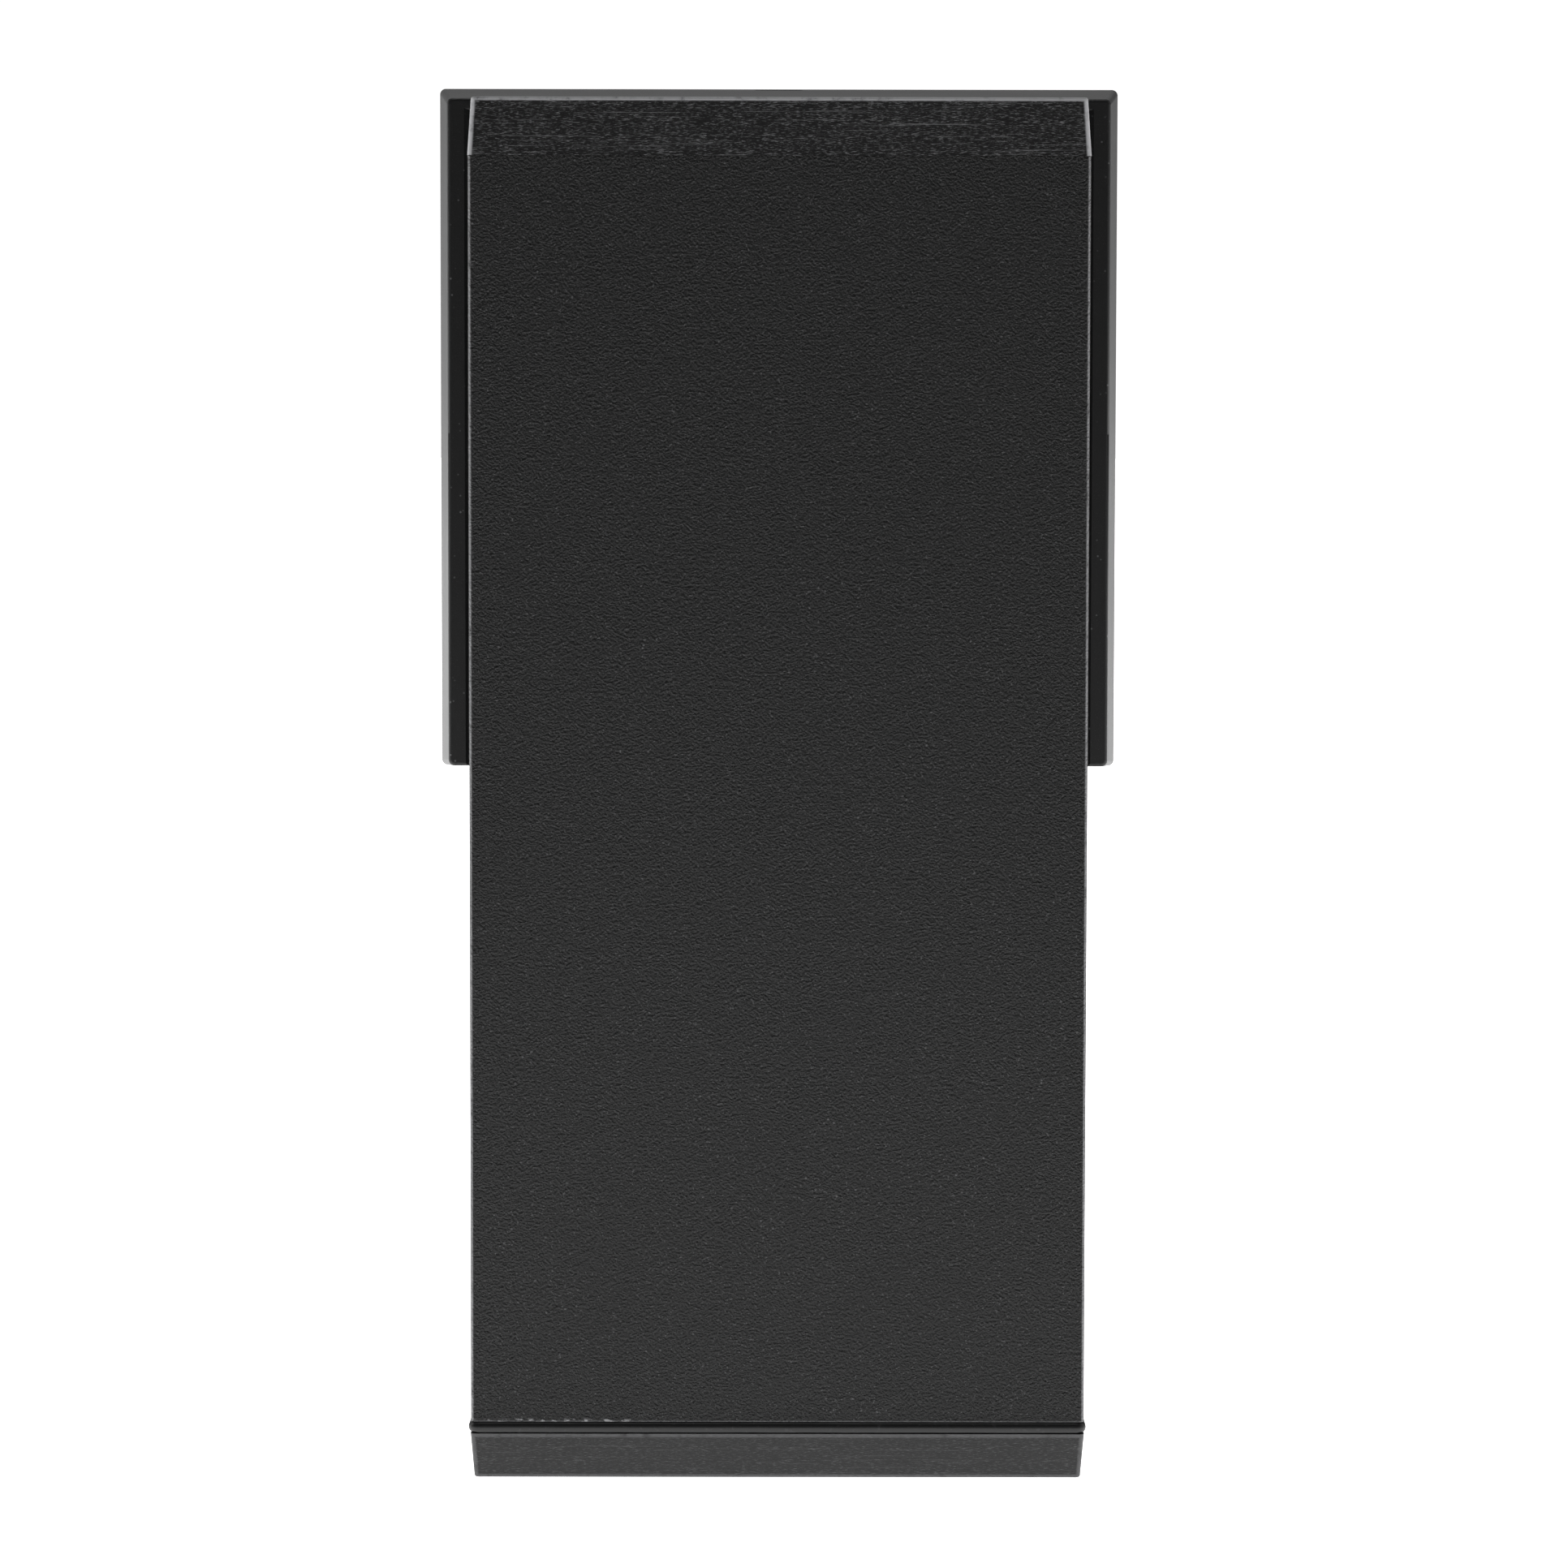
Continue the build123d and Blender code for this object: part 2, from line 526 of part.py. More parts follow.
def woofer_basket():
    """The cast frame: flange, sloping skirt with six windows, spider ledge and rear plate."""
    b = BAFFLE_Y
    outline = [(56, b - 2), (68, b - 2), (68, b + 3), (58.5, b + 3), (56.5, b + 11), (43.5, b + 35)]
    outline += [(43.5, b + 45), (16, b + 45), (16, b + 42), (41, b + 42), (41, b + 33.5), (37, b + 33.5)]
    outline += [(37, b + 31.5), (42.6, b + 31.5), (54, b + 10), (56, b + 2)]
    basket = spun_y(outline, WOOFER_Z)
    front_edges = basket.edges().filter_by(GeomType.CIRCLE).group_by(Axis.Y)[0]
    basket = fillet(front_edges.sort_by(SortBy.LENGTH)[-1], 1.2)
    for k in range(6):
        window = Pos(50, b + 20, 0) * Box(24, 14, 30)
        basket -= Pos(0, 0, WOOFER_Z) * Rot(0, 60 * k, 0) * window
    for x, z in around(WOOFER_SCREW_CIRCLE, WOOFER_SCREWS, 30):
        basket -= rod_y(WOOFER_SCREW_RADIUS + 0.3, b - 5, b + 5, x, WOOFER_Z + z)
    return basket


def woofer_gasket():
    gasket = ring_y(67.6, 59.4, WOOFER_FLANGE_BACK, WOOFER_FLANGE_BACK + WOOFER_GASKET, WOOFER_Z)
    for x, z in around(WOOFER_SCREW_CIRCLE, WOOFER_SCREWS, 30):
        gasket -= rod_y(WOOFER_SCREW_RADIUS + 0.3, BAFFLE_Y, BAFFLE_Y + 5, x, WOOFER_Z + z)
    return gasket


def woofer_trim_ring():
    """A rubber-finished ring that hides the outer lip of the surround."""
    front = WOOFER_FLANGE_FRONT - 1.6
    ring = ring_y(58.6, 55.4, front, WOOFER_FLANGE_FRONT, WOOFER_Z)
    return fillet(ring.edges().group_by(Axis.Y)[0], 0.7)


def woofer_surround():
    """A half-round rubber roll between the cone and the frame, with a flat lip each side."""
    middle, roll, skin, lip_y = 50.9, 4.2, 0.7, CONE_EDGE_Y
    outer = Pos(middle, lip_y) * Circle(roll)
    inner = Pos(middle, lip_y) * Circle(roll - skin)
    front_half = Pos(middle, lip_y - roll) * Rectangle(3 * roll, 2 * roll)
    arch = (outer - inner) & front_half
    lip_in = Pos(CONE_RADIUS + 0.6, lip_y - skin / 2) * Rectangle(0.8, skin)
    lip_out = Pos(55.3, lip_y - skin / 2) * Rectangle(1.3, skin)
    return Pos(0, 0, WOOFER_Z) * revolve(arch + lip_in + lip_out, Axis.Y, 360)


def woofer_cone():
    """A straight-sided cone, glued to the former at its neck."""
    neck_y = CONE_EDGE_Y + CONE_DEPTH
    neck = COIL_RADIUS + 0.35
    outline = [(CONE_RADIUS, CONE_EDGE_Y), (CONE_RADIUS, CONE_EDGE_Y + CONE_THICKNESS)]
    outline += [(neck + 1.0, neck_y + CONE_THICKNESS), (neck, neck_y + CONE_THICKNESS), (neck, neck_y - 0.6)]
    outline += [(CONE_RADIUS - 1.6, CONE_EDGE_Y)]
    return spun_y(outline, WOOFER_Z)


def woofer_dust_cap():
    """A shallow dome over the neck of the cone."""
    base, height, thickness = 17.0, 6.5, 0.6
    ball = (base**2 + height**2) / (2 * height)
    base_y = CONE_EDGE_Y + 19.0
    centre = base_y - height + ball
    shell = Pos(0, centre, WOOFER_Z) * Sphere(ball) - Pos(0, centre, WOOFER_Z) * Sphere(ball - thickness)
    return shell & rod_y(base, base_y - height - 1, base_y, 0, WOOFER_Z)


def voice_coil_former():
    return ring_y(COIL_RADIUS + 0.25, COIL_RADIUS, CONE_EDGE_Y + CONE_DEPTH - 2, BASKET_BACK + 8, WOOFER_Z)


def voice_coil_winding():
    inner = COIL_RADIUS + 0.26
    return ring_y(inner + 0.4, inner, BASKET_BACK - 2.5, BASKET_BACK + 7.5, WOOFER_Z)


def woofer_spider():
    """The corrugated disc that centres the coil, glued to a ledge in the frame."""
    y, thickness, rise, waves = BAFFLE_Y + 30.6, 0.5, 1.3, 5
    first, last = COIL_RADIUS + 0.6, 36.5
    step = (last - first) / (2 * waves)
    front = [(first + k * step, y - (rise if k % 2 else 0.0)) for k in range(2 * waves + 1)]
    front += [(40.5, y + 0.4)]
    back = [(r, level + thickness) for r, level in reversed(front)]
    return spun_y(front + back, WOOFER_Z)


def woofer_top_plate():
    return ring_y(40, COIL_RADIUS + 1.0, BASKET_BACK, BASKET_BACK + WOOFER_PLATE, WOOFER_Z)


def woofer_magnet():
    magnet = ring_y(45, 20, BASKET_BACK + WOOFER_PLATE, WOOFER_YOKE_Y, WOOFER_Z)
    return fillet(magnet.edges().filter_by(GeomType.CIRCLE).sort_by(SortBy.LENGTH)[-2:], 1.0)


def woofer_yoke():
    """The back plate with its pole, vented through the middle."""
    yoke = rod_y(41, WOOFER_YOKE_Y, WOOFER_YOKE_Y + WOOFER_PLATE, 0, WOOFER_Z)
    yoke = chamfer(yoke.edges().group_by(Axis.Y)[-1], 1.5)
    yoke += rod_y(COIL_RADIUS - 0.5, BASKET_BACK, WOOFER_YOKE_Y, 0, WOOFER_Z)
    return yoke - rod_y(5, BASKET_BACK - 1, WOOFER_YOKE_Y + WOOFER_PLATE + 1, 0, WOOFER_Z)


def woofer_screws():
    size = (WOOFER_SCREW_RADIUS, 3.6, 2.4, WOOFER_FLANGE_FRONT, 17)
    places = around(WOOFER_SCREW_CIRCLE, WOOFER_SCREWS, 30)
    return solids_of([socket_screw_y(*size, x, WOOFER_Z + z) for x, z in places])


TAB_Y = BAFFLE_Y + 39.0
TAB_Z = WOOFER_Z + 43.6


def woofer_terminal_strip():
    """A small board with two solder tabs on top of the frame."""
    strip = block(-9, 9, TAB_Y - 4, TAB_Y + 4, TAB_Z, TAB_Z + 1.6)
    for x in (-6, 6):
        strip += block(x - 1.6, x + 1.6, TAB_Y - 0.4, TAB_Y + 0.4, TAB_Z + 1.6, TAB_Z + 8)
    return strip


# ---- Crossover ---------------------------------------------------------------------------------

BOARD_WIDTH = 100.0
BOARD_BOTTOM = 62.0
BOARD_TOP = 146.0
BOARD_THICKNESS = 1.6
BOARD_Y = INNER_REAR_Y - BOARD_THICKNESS
BOARD_MIDDLE = (BOARD_BOTTOM + BOARD_TOP) / 2
BOARD_SCREW_PLACES = [(sx * 45, BOARD_MIDDLE + sz * 37) for sx, sz in CORNERS]
COIL_SIZES = [(-24.0, 84.0, 19.0, 8.0, 22.0), (26.0, 122.0, 14.0, 6.0, 16.0)]


def crossover_board():
    board = block(-BOARD_WIDTH / 2, BOARD_WIDTH / 2, BOARD_Y, INNER_REAR_Y, BOARD_BOTTOM, BOARD_TOP)
    for x, z in BOARD_SCREW_PLACES:
        board -= rod_y(1.6, BOARD_Y - 1, INNER_REAR_Y + 1, x, z)
    return board


def crossover_screws():
    return solids_of([socket_screw_y(1.5, 3.0, 2.0, BOARD_Y, 1.5, x, z) for x, z in BOARD_SCREW_PLACES])


def crossover_inductors():
    """Two air-cored coils, the larger one in the woofer's branch."""
    coils = []
    for x, z, outer, inner, length in COIL_SIZES:
        y0 = BOARD_Y - length
        coil = rod_y(outer, y0, BOARD_Y, x, z)
        coil = fillet(coil.edges().group_by(Axis.Y)[0], 2.0)
        coils.append(coil - rod_y(inner, y0 - 1, BOARD_Y + 1, x, z))
    return solids_of(coils)


def crossover_capacitors():
    """Film capacitors lying side by side on the board."""
    capacitors = []
    for x, z, radius, half in ((-26.0, 119.0, 9.0, 18.0), (-26.0, 137.0, 7.0, 15.0)):
        capacitors.append(rod_x(radius, x - half, x + half, BOARD_Y - radius, z))
    return solids_of(capacitors)


def crossover_resistors():
    """Ceramic power resistors."""
    resistors = []
    for x, z in ((22.0, 74.0), (22.0, 90.0)):
        body = block(x - 19, x + 19, BOARD_Y - 9, BOARD_Y, z - 4.5, z + 4.5)
        resistors.append(chamfer(body.edges().filter_by(Axis.X), 0.8))
    return solids_of(resistors)


# ---- Terminals ---------------------------------------------------------------------------------

CUP_WALL = 2.5
CUP_SCREW_RADIUS = 1.5
COLLAR_LENGTH = CUP_CEILING_Z - POST_CAP_Z - POST_CAP_LENGTH - 1.0
WASHER_THICKNESS = 1.0
CAP_OUTER = 6.5


def cup_screw_places():
    half_x, half_y = CUP_FLANGE[0] / 2 - 2.6, CUP_FLANGE[1] / 2 - 2.6
    return [(sx * half_x, TERMINAL_Y + sy * half_y) for sx, sy in CORNERS]


def post_places():
    return {"red": -POST_SPACING / 2, "black": POST_SPACING / 2}


def terminal_cup():
    """A moulded cup, open downwards, that holds the binding posts above the base."""
    flange_x, flange_y = (size / 2 for size in CUP_FLANGE)
    body_x, body_y = (size / 2 for size in CUP_BODY)
    y = TERMINAL_Y
    flange_top = CUP_RECESS + CUP_FLANGE_THICKNESS
    cup = block(-flange_x, flange_x, y - flange_y, y + flange_y, CUP_RECESS, flange_top)
    cup += block(-body_x, body_x, y - body_y, y + body_y, CUP_RECESS, CUP_CEILING_Z + CUP_WALL)
    pocket_x, pocket_y = body_x - CUP_WALL, body_y - CUP_WALL
    pocket = block(-pocket_x, pocket_x, y - pocket_y, y + pocket_y, 0, CUP_CEILING_Z)
    cup -= fillet(pocket.edges().filter_by(Axis.Z), 4)
    cup -= cable_channel()
    for x in post_places().values():
        cup -= rod_z(2.55, CUP_CEILING_Z - 1, CUP_CEILING_Z + CUP_WALL + 1, x, y)
    for x, screw_y in cup_screw_places():
        cup -= rod_z(CUP_SCREW_RADIUS + SCREW_CLEARANCE, 0, flange_top + 1, x, screw_y)
        cup -= rod_z(2.7, 0, CUP_RECESS + 1.6, x, screw_y)
    return cup


def terminal_cup_screws():
    screws = []
    for x, y in cup_screw_places():
        head = rod_z(2.4, CUP_RECESS + 0.2, CUP_RECESS + 1.6, x, y)
        screw = head + rod_z(CUP_SCREW_RADIUS, CUP_RECESS + 1.6, 10, x, y)
        screws.append(screw - block(x - 0.4, x + 0.4, y - 1.7, y + 1.7, 0, CUP_RECESS + 0.8))
    return solids_of(screws)


def binding_post_cores():
    """Plated posts with a banana socket from below and a cross hole for bare wire."""
    cores = []
    for x in post_places().values():
        core = rod_z(POST_RADIUS, POST_TIP_Z, CUP_CEILING_Z, x, TERMINAL_Y)
        core += rod_z(2.5, CUP_CEILING_Z, CUP_CEILING_Z + 14, x, TERMINAL_Y)
        core -= rod_z(SOCKET_RADIUS, POST_TIP_Z - 1, POST_TIP_Z + SOCKET_LENGTH, x, TERMINAL_Y)
        cores.append(core)
    return solids_of(cores)


def binding_post_nuts():
    nuts = []
    for x in post_places().values():
        hexagon = Pos(x, TERMINAL_Y, CUP_CEILING_Z + CUP_WALL) * RegularPolygon(4.6, 6)
        nuts.append(extrude(hexagon, 4) - rod_z(2.55, CUP_CEILING_Z, CUP_CEILING_Z + 9, x, TERMINAL_Y))
    return solids_of(nuts)


def post_collar(x):
    """The coloured insulator that the washer clamps the wire against."""
    z0 = CUP_CEILING_Z - COLLAR_LENGTH
    collar = rod_z(CAP_OUTER, z0, CUP_CEILING_Z, x, TERMINAL_Y)
    return collar - rod_z(POST_RADIUS + RUNNING_CLEARANCE, z0 - 1, CUP_CEILING_Z + 1, x, TERMINAL_Y)


def post_washer(x):
    """The loose washer that the cap pushes up against the wire."""
    z0 = POST_CAP_Z + POST_CAP_LENGTH + 0.02
    z1 = CUP_CEILING_Z - COLLAR_LENGTH - 0.02
    washer = rod_z(CAP_OUTER - 0.4, z0, z1, x, TERMINAL_Y)
    return washer - rod_z(POST_RADIUS + RUNNING_CLEARANCE, z0 - 1, z1 + 1, x, TERMINAL_Y)


def post_cap(x):
    """The fluted screw cap, open at its lower end for the plug."""
    z1 = POST_CAP_Z + POST_CAP_LENGTH
    cap = rod_z(CAP_OUTER, POST_CAP_Z, z1, x, TERMINAL_Y)
    cap = chamfer(cap.edges().group_by(Axis.Z)[0], 0.8)
    for dx, dy in around(CAP_OUTER + 0.5, 12):
        cap -= rod_z(0.9, POST_CAP_Z - 1, z1 - 2, x + dx, TERMINAL_Y + dy)
    return cap - rod_z(POST_RADIUS + RUNNING_CLEARANCE, POST_CAP_Z - 1, z1 + 1, x, TERMINAL_Y)


# ---- Damping and wiring ------------------------------------------------------------------------

FOAM_BOTTOM = BRACE_Z + PANEL + 4.0
FOAM_TOP = SLEEVE_TOP - 8.0
SIDE_FOAM = 12.0
BACK_FOAM = 15.0
WIRE_RADIUS = 1.3
WIRE_BEND = 9.0
SOLDER_GAP = 0.02


def side_foam_pads():
    x0, x1 = INNER_HALF_WIDTH - SIDE_FOAM, INNER_HALF_WIDTH - 0.2
    pads = []
    for side in (-1, 1):
        near, far = sorted((side * x0, side * x1))
        pads.append(block(near, far, -45, INNER_REAR_Y - BACK_FOAM - 2, FOAM_BOTTOM, FOAM_TOP))
    return solids_of(pads)


def back_foam_pad():
    y0, y1 = INNER_REAR_Y - BACK_FOAM, INNER_REAR_Y - 0.2
    return block(-48, 48, y0, y1, FOAM_BOTTOM, FOAM_TOP)


def wire(points):
    """A round insulated wire along straight runs joined by arcs."""
    path = FilletPolyline(*points, radius=WIRE_BEND)
    start = Plane(origin=path @ 0, z_dir=path % 0)
    return sweep(start * Circle(WIRE_RADIUS), path=path)


def input_wires():
    """From the studs of the binding posts to the foot of the board."""
    start_z = CUP_CEILING_Z + 14 + SOLDER_GAP
    wires = []
    for post_x, board_x in ((-POST_SPACING / 2, -1.5), (POST_SPACING / 2, 3.5)):
        route = [(post_x, TERMINAL_Y, start_z), (post_x, TERMINAL_Y, start_z + 20)]
        route += [(board_x, 60, 66), (board_x, BOARD_Y - SOLDER_GAP, 66)]
        wires.append(wire(route))
    return solids_of(wires)


def woofer_wires():
    """From the top of the board to the tabs on the woofer's frame."""
    start_z = TAB_Z + 8 + SOLDER_GAP
    wires = []
    for tab_x, board_x in ((-6.0, -1.5), (6.0, 3.5)):
        route = [(tab_x, TAB_Y, start_z), (tab_x, TAB_Y, start_z + 15), (board_x, 40, start_z + 15)]
        route += [(board_x, 70, 142), (board_x, BOARD_Y - SOLDER_GAP, 142)]
        wires.append(wire(route))
    return solids_of(wires)


def tweeter_wires():
    """From the board up through the brace's window to the driver's top plate."""
    plate_y = TOP_PLATE_Y + TOP_PLATE_THICKNESS / 2
    plate_z = HORN_Z - DRIVER_RADIUS + 2.8
    wires = []
    for plate_x, board_x in ((-10.0, -5.5), (10.0, 8.5)):
        route = [(board_x, BOARD_Y - SOLDER_GAP, 134), (board_x, 62, 134)]
        route += [(plate_x, plate_y, 178), (plate_x, plate_y, plate_z)]
        wires.append(wire(route))
    return solids_of(wires)


def main():
    os.makedirs("parts", exist_ok=True)
    parts = {
        "front_baffle": front_baffle(),
        "left_side_panel": side_panel(-1),
        "right_side_panel": side_panel(1),
        "back_panel": back_panel(),
        "vinyl_wrap": vinyl_wrap(),
        "top_cap": top_cap(),
        "base_cap": base_cap(),
        "base_gasket": base_gasket(),
        "cabinet_brace": cabinet_brace(),
        "corner_battens": corner_battens(),
        "base_screws": base_screws(),
        "stand_inserts": stand_inserts(),
        "horn_housing": horn_housing(),
        "horn_flare": horn_flare(),
        "horn_screws": horn_screws(),
        "housing_screws": housing_screws(),
        "driver_gasket": driver_gasket(),
        "driver_yoke": driver_yoke(),
        "driver_magnet": driver_magnet(),
        "driver_top_plate": driver_top_plate(),
        "driver_screws": driver_screws(),
        "driver_back_cover": driver_back_cover(),
        "phase_plug": phase_plug(),
        "tweeter_dome": tweeter_dome(),
        "tweeter_voice_coil": tweeter_voice_coil(),
        "tweeter_surround": tweeter_surround(),
        "woofer_basket": woofer_basket(),
        "woofer_gasket": woofer_gasket(),
        "woofer_trim_ring": woofer_trim_ring(),
        "woofer_surround": woofer_surround(),
        "woofer_cone": woofer_cone(),
        "woofer_dust_cap": woofer_dust_cap(),
        "voice_coil_former": voice_coil_former(),
        "voice_coil_winding": voice_coil_winding(),
        "woofer_spider": woofer_spider(),
        "woofer_top_plate": woofer_top_plate(),
        "woofer_magnet": woofer_magnet(),
        "woofer_yoke": woofer_yoke(),
        "woofer_screws": woofer_screws(),
        "woofer_terminal_strip": woofer_terminal_strip(),
        "crossover_board": crossover_board(),
        "crossover_screws": crossover_screws(),
        "crossover_inductors": crossover_inductors(),
        "crossover_capacitors": crossover_capacitors(),
        "crossover_resistors": crossover_resistors(),
        "terminal_cup": terminal_cup(),
        "terminal_cup_screws": terminal_cup_screws(),
        "binding_post_cores": binding_post_cores(),
        "binding_post_nuts": binding_post_nuts(),
        "side_foam_pads": side_foam_pads(),
        "back_foam_pad": back_foam_pad(),
        "input_wires": input_wires(),
        "woofer_wires": woofer_wires(),
        "tweeter_wires": tweeter_wires(),
    }
    for colour, x in post_places().items():
        parts[f"{colour}_post_collar"] = post_collar(x)
        parts[f"{colour}_post_washer"] = post_washer(x)
        parts[f"{colour}_post_cap"] = post_cap(x)
    for node, shape in parts.items():
        export_step(shape, f"parts/{node}.step")
        print(node, round(shape.volume))


main()
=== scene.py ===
# %% [markdown]
# # A bookshelf speaker, dressed for its portrait
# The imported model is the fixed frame: every board, screw and coil is already in its place and at its size.
# This lesson gives each of them a finish, and makes again in mesh the few soft or wound pieces that a plain
# solid can't show: the squeezed rubber bead, the woofer's roll, cone and cap, the foam and the copper coils.
# Lengths are metres, and the frame's axes hold throughout: X across, -Y towards the listener, Z up.

# %% Load the frame
import json
import math

import bmesh
import bpy
from mathutils import Matrix, Vector, noise


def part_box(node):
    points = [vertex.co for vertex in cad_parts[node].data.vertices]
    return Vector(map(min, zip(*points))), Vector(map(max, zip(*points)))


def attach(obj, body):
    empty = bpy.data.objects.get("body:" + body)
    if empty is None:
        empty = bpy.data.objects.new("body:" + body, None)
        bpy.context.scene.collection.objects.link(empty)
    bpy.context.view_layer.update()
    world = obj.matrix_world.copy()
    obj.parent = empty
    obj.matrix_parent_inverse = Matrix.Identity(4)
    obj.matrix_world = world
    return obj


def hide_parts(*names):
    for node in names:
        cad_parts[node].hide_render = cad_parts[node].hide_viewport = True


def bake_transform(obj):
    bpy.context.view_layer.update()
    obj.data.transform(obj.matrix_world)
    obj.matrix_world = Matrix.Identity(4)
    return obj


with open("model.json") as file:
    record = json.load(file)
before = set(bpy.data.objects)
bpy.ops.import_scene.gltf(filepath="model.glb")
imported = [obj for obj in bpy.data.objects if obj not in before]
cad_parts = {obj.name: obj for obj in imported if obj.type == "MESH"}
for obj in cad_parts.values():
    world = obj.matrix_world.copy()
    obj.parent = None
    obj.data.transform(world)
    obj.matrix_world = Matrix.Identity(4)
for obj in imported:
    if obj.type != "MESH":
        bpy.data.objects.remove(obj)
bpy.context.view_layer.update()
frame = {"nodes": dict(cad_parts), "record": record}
scene = bpy.context.scene
MM = 0.001

# %% [markdown]
# The camera looks at the plain back from a little above the middle, through a long lens, as a catalogue
# picture does. Its place is worked out from the cabinet: the long lens keeps the sides nearly parallel, and
# the small tilt makes the foot of the cabinet a little narrower than its head.

# %% Camera
wrap_low, wrap_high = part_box("vinyl_wrap")
hood_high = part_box("horn_housing")[1]


def aim(position, tilt_deg, turn_deg, roll_deg):
    """A camera matrix that looks along -Y, then tilts, turns and rolls by small angles."""
    tilt, turn, roll = (math.radians(angle) for angle in (tilt_deg, turn_deg, roll_deg))
    forward = Vector((math.sin(turn) * math.cos(tilt), -math.cos(turn) * math.cos(tilt), math.sin(tilt)))
    level_right = forward.cross(Vector((0, 0, 1))).normalized()
    level_up = level_right.cross(forward)
    right = math.cos(roll) * level_right + math.sin(roll) * level_up
    up = math.cos(roll) * level_up - math.sin(roll) * level_right
    turned = Matrix((right, up, -forward)).transposed().to_4x4()
    return Matrix.Translation(position) @ turned


camera_data = bpy.data.cameras.new("catalogue_camera")
camera_data.lens = 129.65
camera_data.sensor_width = 36.0
camera = bpy.data.objects.new("catalogue_camera", camera_data)
scene.collection.objects.link(camera)
CAMERA_DISTANCE = 1.3647
camera.matrix_world = aim((0.0011, wrap_high.y + CAMERA_DISTANCE, 0.2774), -4.48, -0.103, 0.097)
scene.camera = camera
print("camera stands", round(camera.location.y, 3), "m behind the cabinet's middle")

# %% [markdown]
# The light is a white cove: a bright wall beyond the speaker, a wide softbox overhead, tall softboxes at the
# sides, thin strips that draw the edges, and a weak fill from the camera's side. Black plastic is mostly seen
# by what it reflects, so the bright wall draws the hood's flanks as pale strips, the overhead box draws the
# top edges, and the dim side towards the camera leaves the big panel black. The boxes themselves are hidden
# from the camera.

# %% Lights, sky and floor


def softbox(name, centre, target, width, height, watts):
    """A rectangular area light, hidden from the camera, that points at a target."""
    light = bpy.data.lights.new(name, "AREA")
    light.shape = "RECTANGLE"
    light.size, light.size_y, light.energy = width, height, watts
    box = bpy.data.objects.new(name, light)
    direction = Vector(target) - Vector(centre)
    box.rotation_euler = direction.to_track_quat("-Z", "Y").to_euler()
    box.location = centre
    box.visible_camera = False
    scene.collection.objects.link(box)
    return box


MIDDLE = Vector((0, 0, hood_high.z / 2))
softbox("far_wall", (0.62, -2.4, 0.8), MIDDLE, 3.2, 2.2, 8.6)
softbox("overhead", (0, -0.7, 1.8), MIDDLE, 1.8, 1.4, 9)
softbox("side_left", (1.5, -0.3, 0.6), MIDDLE, 0.8, 1.6, 8)
softbox("side_right", (-1.5, -0.3, 0.6), MIDDLE, 0.8, 1.6, 4.5)
softbox("top_edge_strip", (0, 0.32, 1.7), MIDDLE, 1.4, 0.16, 3.2)
softbox("right_edge_strip", (-1.25, 0.62, 0.35), MIDDLE, 0.10, 1.0, 0.9)
softbox("left_edge_strip", (1.25, 0.62, 0.35), MIDDLE, 0.10, 1.0, 0.3)
softbox("camera_fill", (0.3, 2.6, 0.4), MIDDLE, 1.6, 0.4, 0.3)

world = bpy.data.worlds.new("white_cove")
world.use_nodes = True
scene.world = world
sky = world.node_tree
sky.nodes.clear()
seen, lighting = sky.nodes.new("ShaderNodeBackground"), sky.nodes.new("ShaderNodeBackground")
seen.inputs["Color"].default_value = (1, 1, 1, 1)
seen.inputs["Strength"].default_value = 1.05
lighting.inputs["Color"].default_value = (1, 1, 1, 1)
lighting.inputs["Strength"].default_value = 0.015
path = sky.nodes.new("ShaderNodeLightPath")
either = sky.nodes.new("ShaderNodeMixShader")
sky_out = sky.nodes.new("ShaderNodeOutputWorld")
sky.links.new(path.outputs["Is Camera Ray"], either.inputs["Fac"])
sky.links.new(lighting.outputs["Background"], either.inputs[1])
sky.links.new(seen.outputs["Background"], either.inputs[2])
sky.links.new(either.outputs["Shader"], sky_out.inputs["Surface"])

floor_mesh = bpy.data.meshes.new("studio_floor")
bm = bmesh.new()
bmesh.ops.create_grid(bm, x_segments=2, y_segments=2, size=12.0)
bmesh.ops.translate(bm, verts=bm.verts, vec=(0, 0, -0.0002))
bm.to_mesh(floor_mesh)
bm.free()
floor = bpy.data.objects.new("studio_floor", floor_mesh)
scene.collection.objects.link(floor)
scene.view_settings.view_transform = "Standard"
print("eight softboxes, a sky and a floor")

# %% [markdown]
# ## Shared effects
# Grain, wood figure, turning marks, dust and edge wear turn up in many finishes, so each is a node group that
# is built once. A group takes a place on the piece and its own few numbers, and gives back a height or a
# mask.
# The shader itself stays in each material, where its plain numbers are set.

# %% Node group helpers


def new_group(name, inputs, outputs):
    """An empty shader group with float or vector sockets; returns the tree and its two end nodes."""
    tree = bpy.data.node_groups.new(name, "ShaderNodeTree")
    kinds = {"float": "NodeSocketFloat", "vector": "NodeSocketVector"}
    for label, kind, value in inputs:
        socket = tree.interface.new_socket(name=label, in_out="INPUT", socket_type=kinds[kind])
        socket.default_value = value
    for label in outputs:
        tree.interface.new_socket(name=label, in_out="OUTPUT", socket_type="NodeSocketFloat")
    return tree, tree.nodes.new("NodeGroupInput"), tree.nodes.new("NodeGroupOutput")


def math_node(tree, operation, a, b=None, c=None, clamp=False):
    """One Math node; each operand is a number or a socket."""
    node = tree.nodes.new("ShaderNodeMath")
    node.operation, node.use_clamp = operation, clamp
    for k, operand in enumerate((a, b, c)):
        if operand is None:
            continue
        if isinstance(operand, (int, float)):
            node.inputs[k].default_value = operand
        else:
            tree.links.new(operand, node.inputs[k])
    return node.outputs[0]


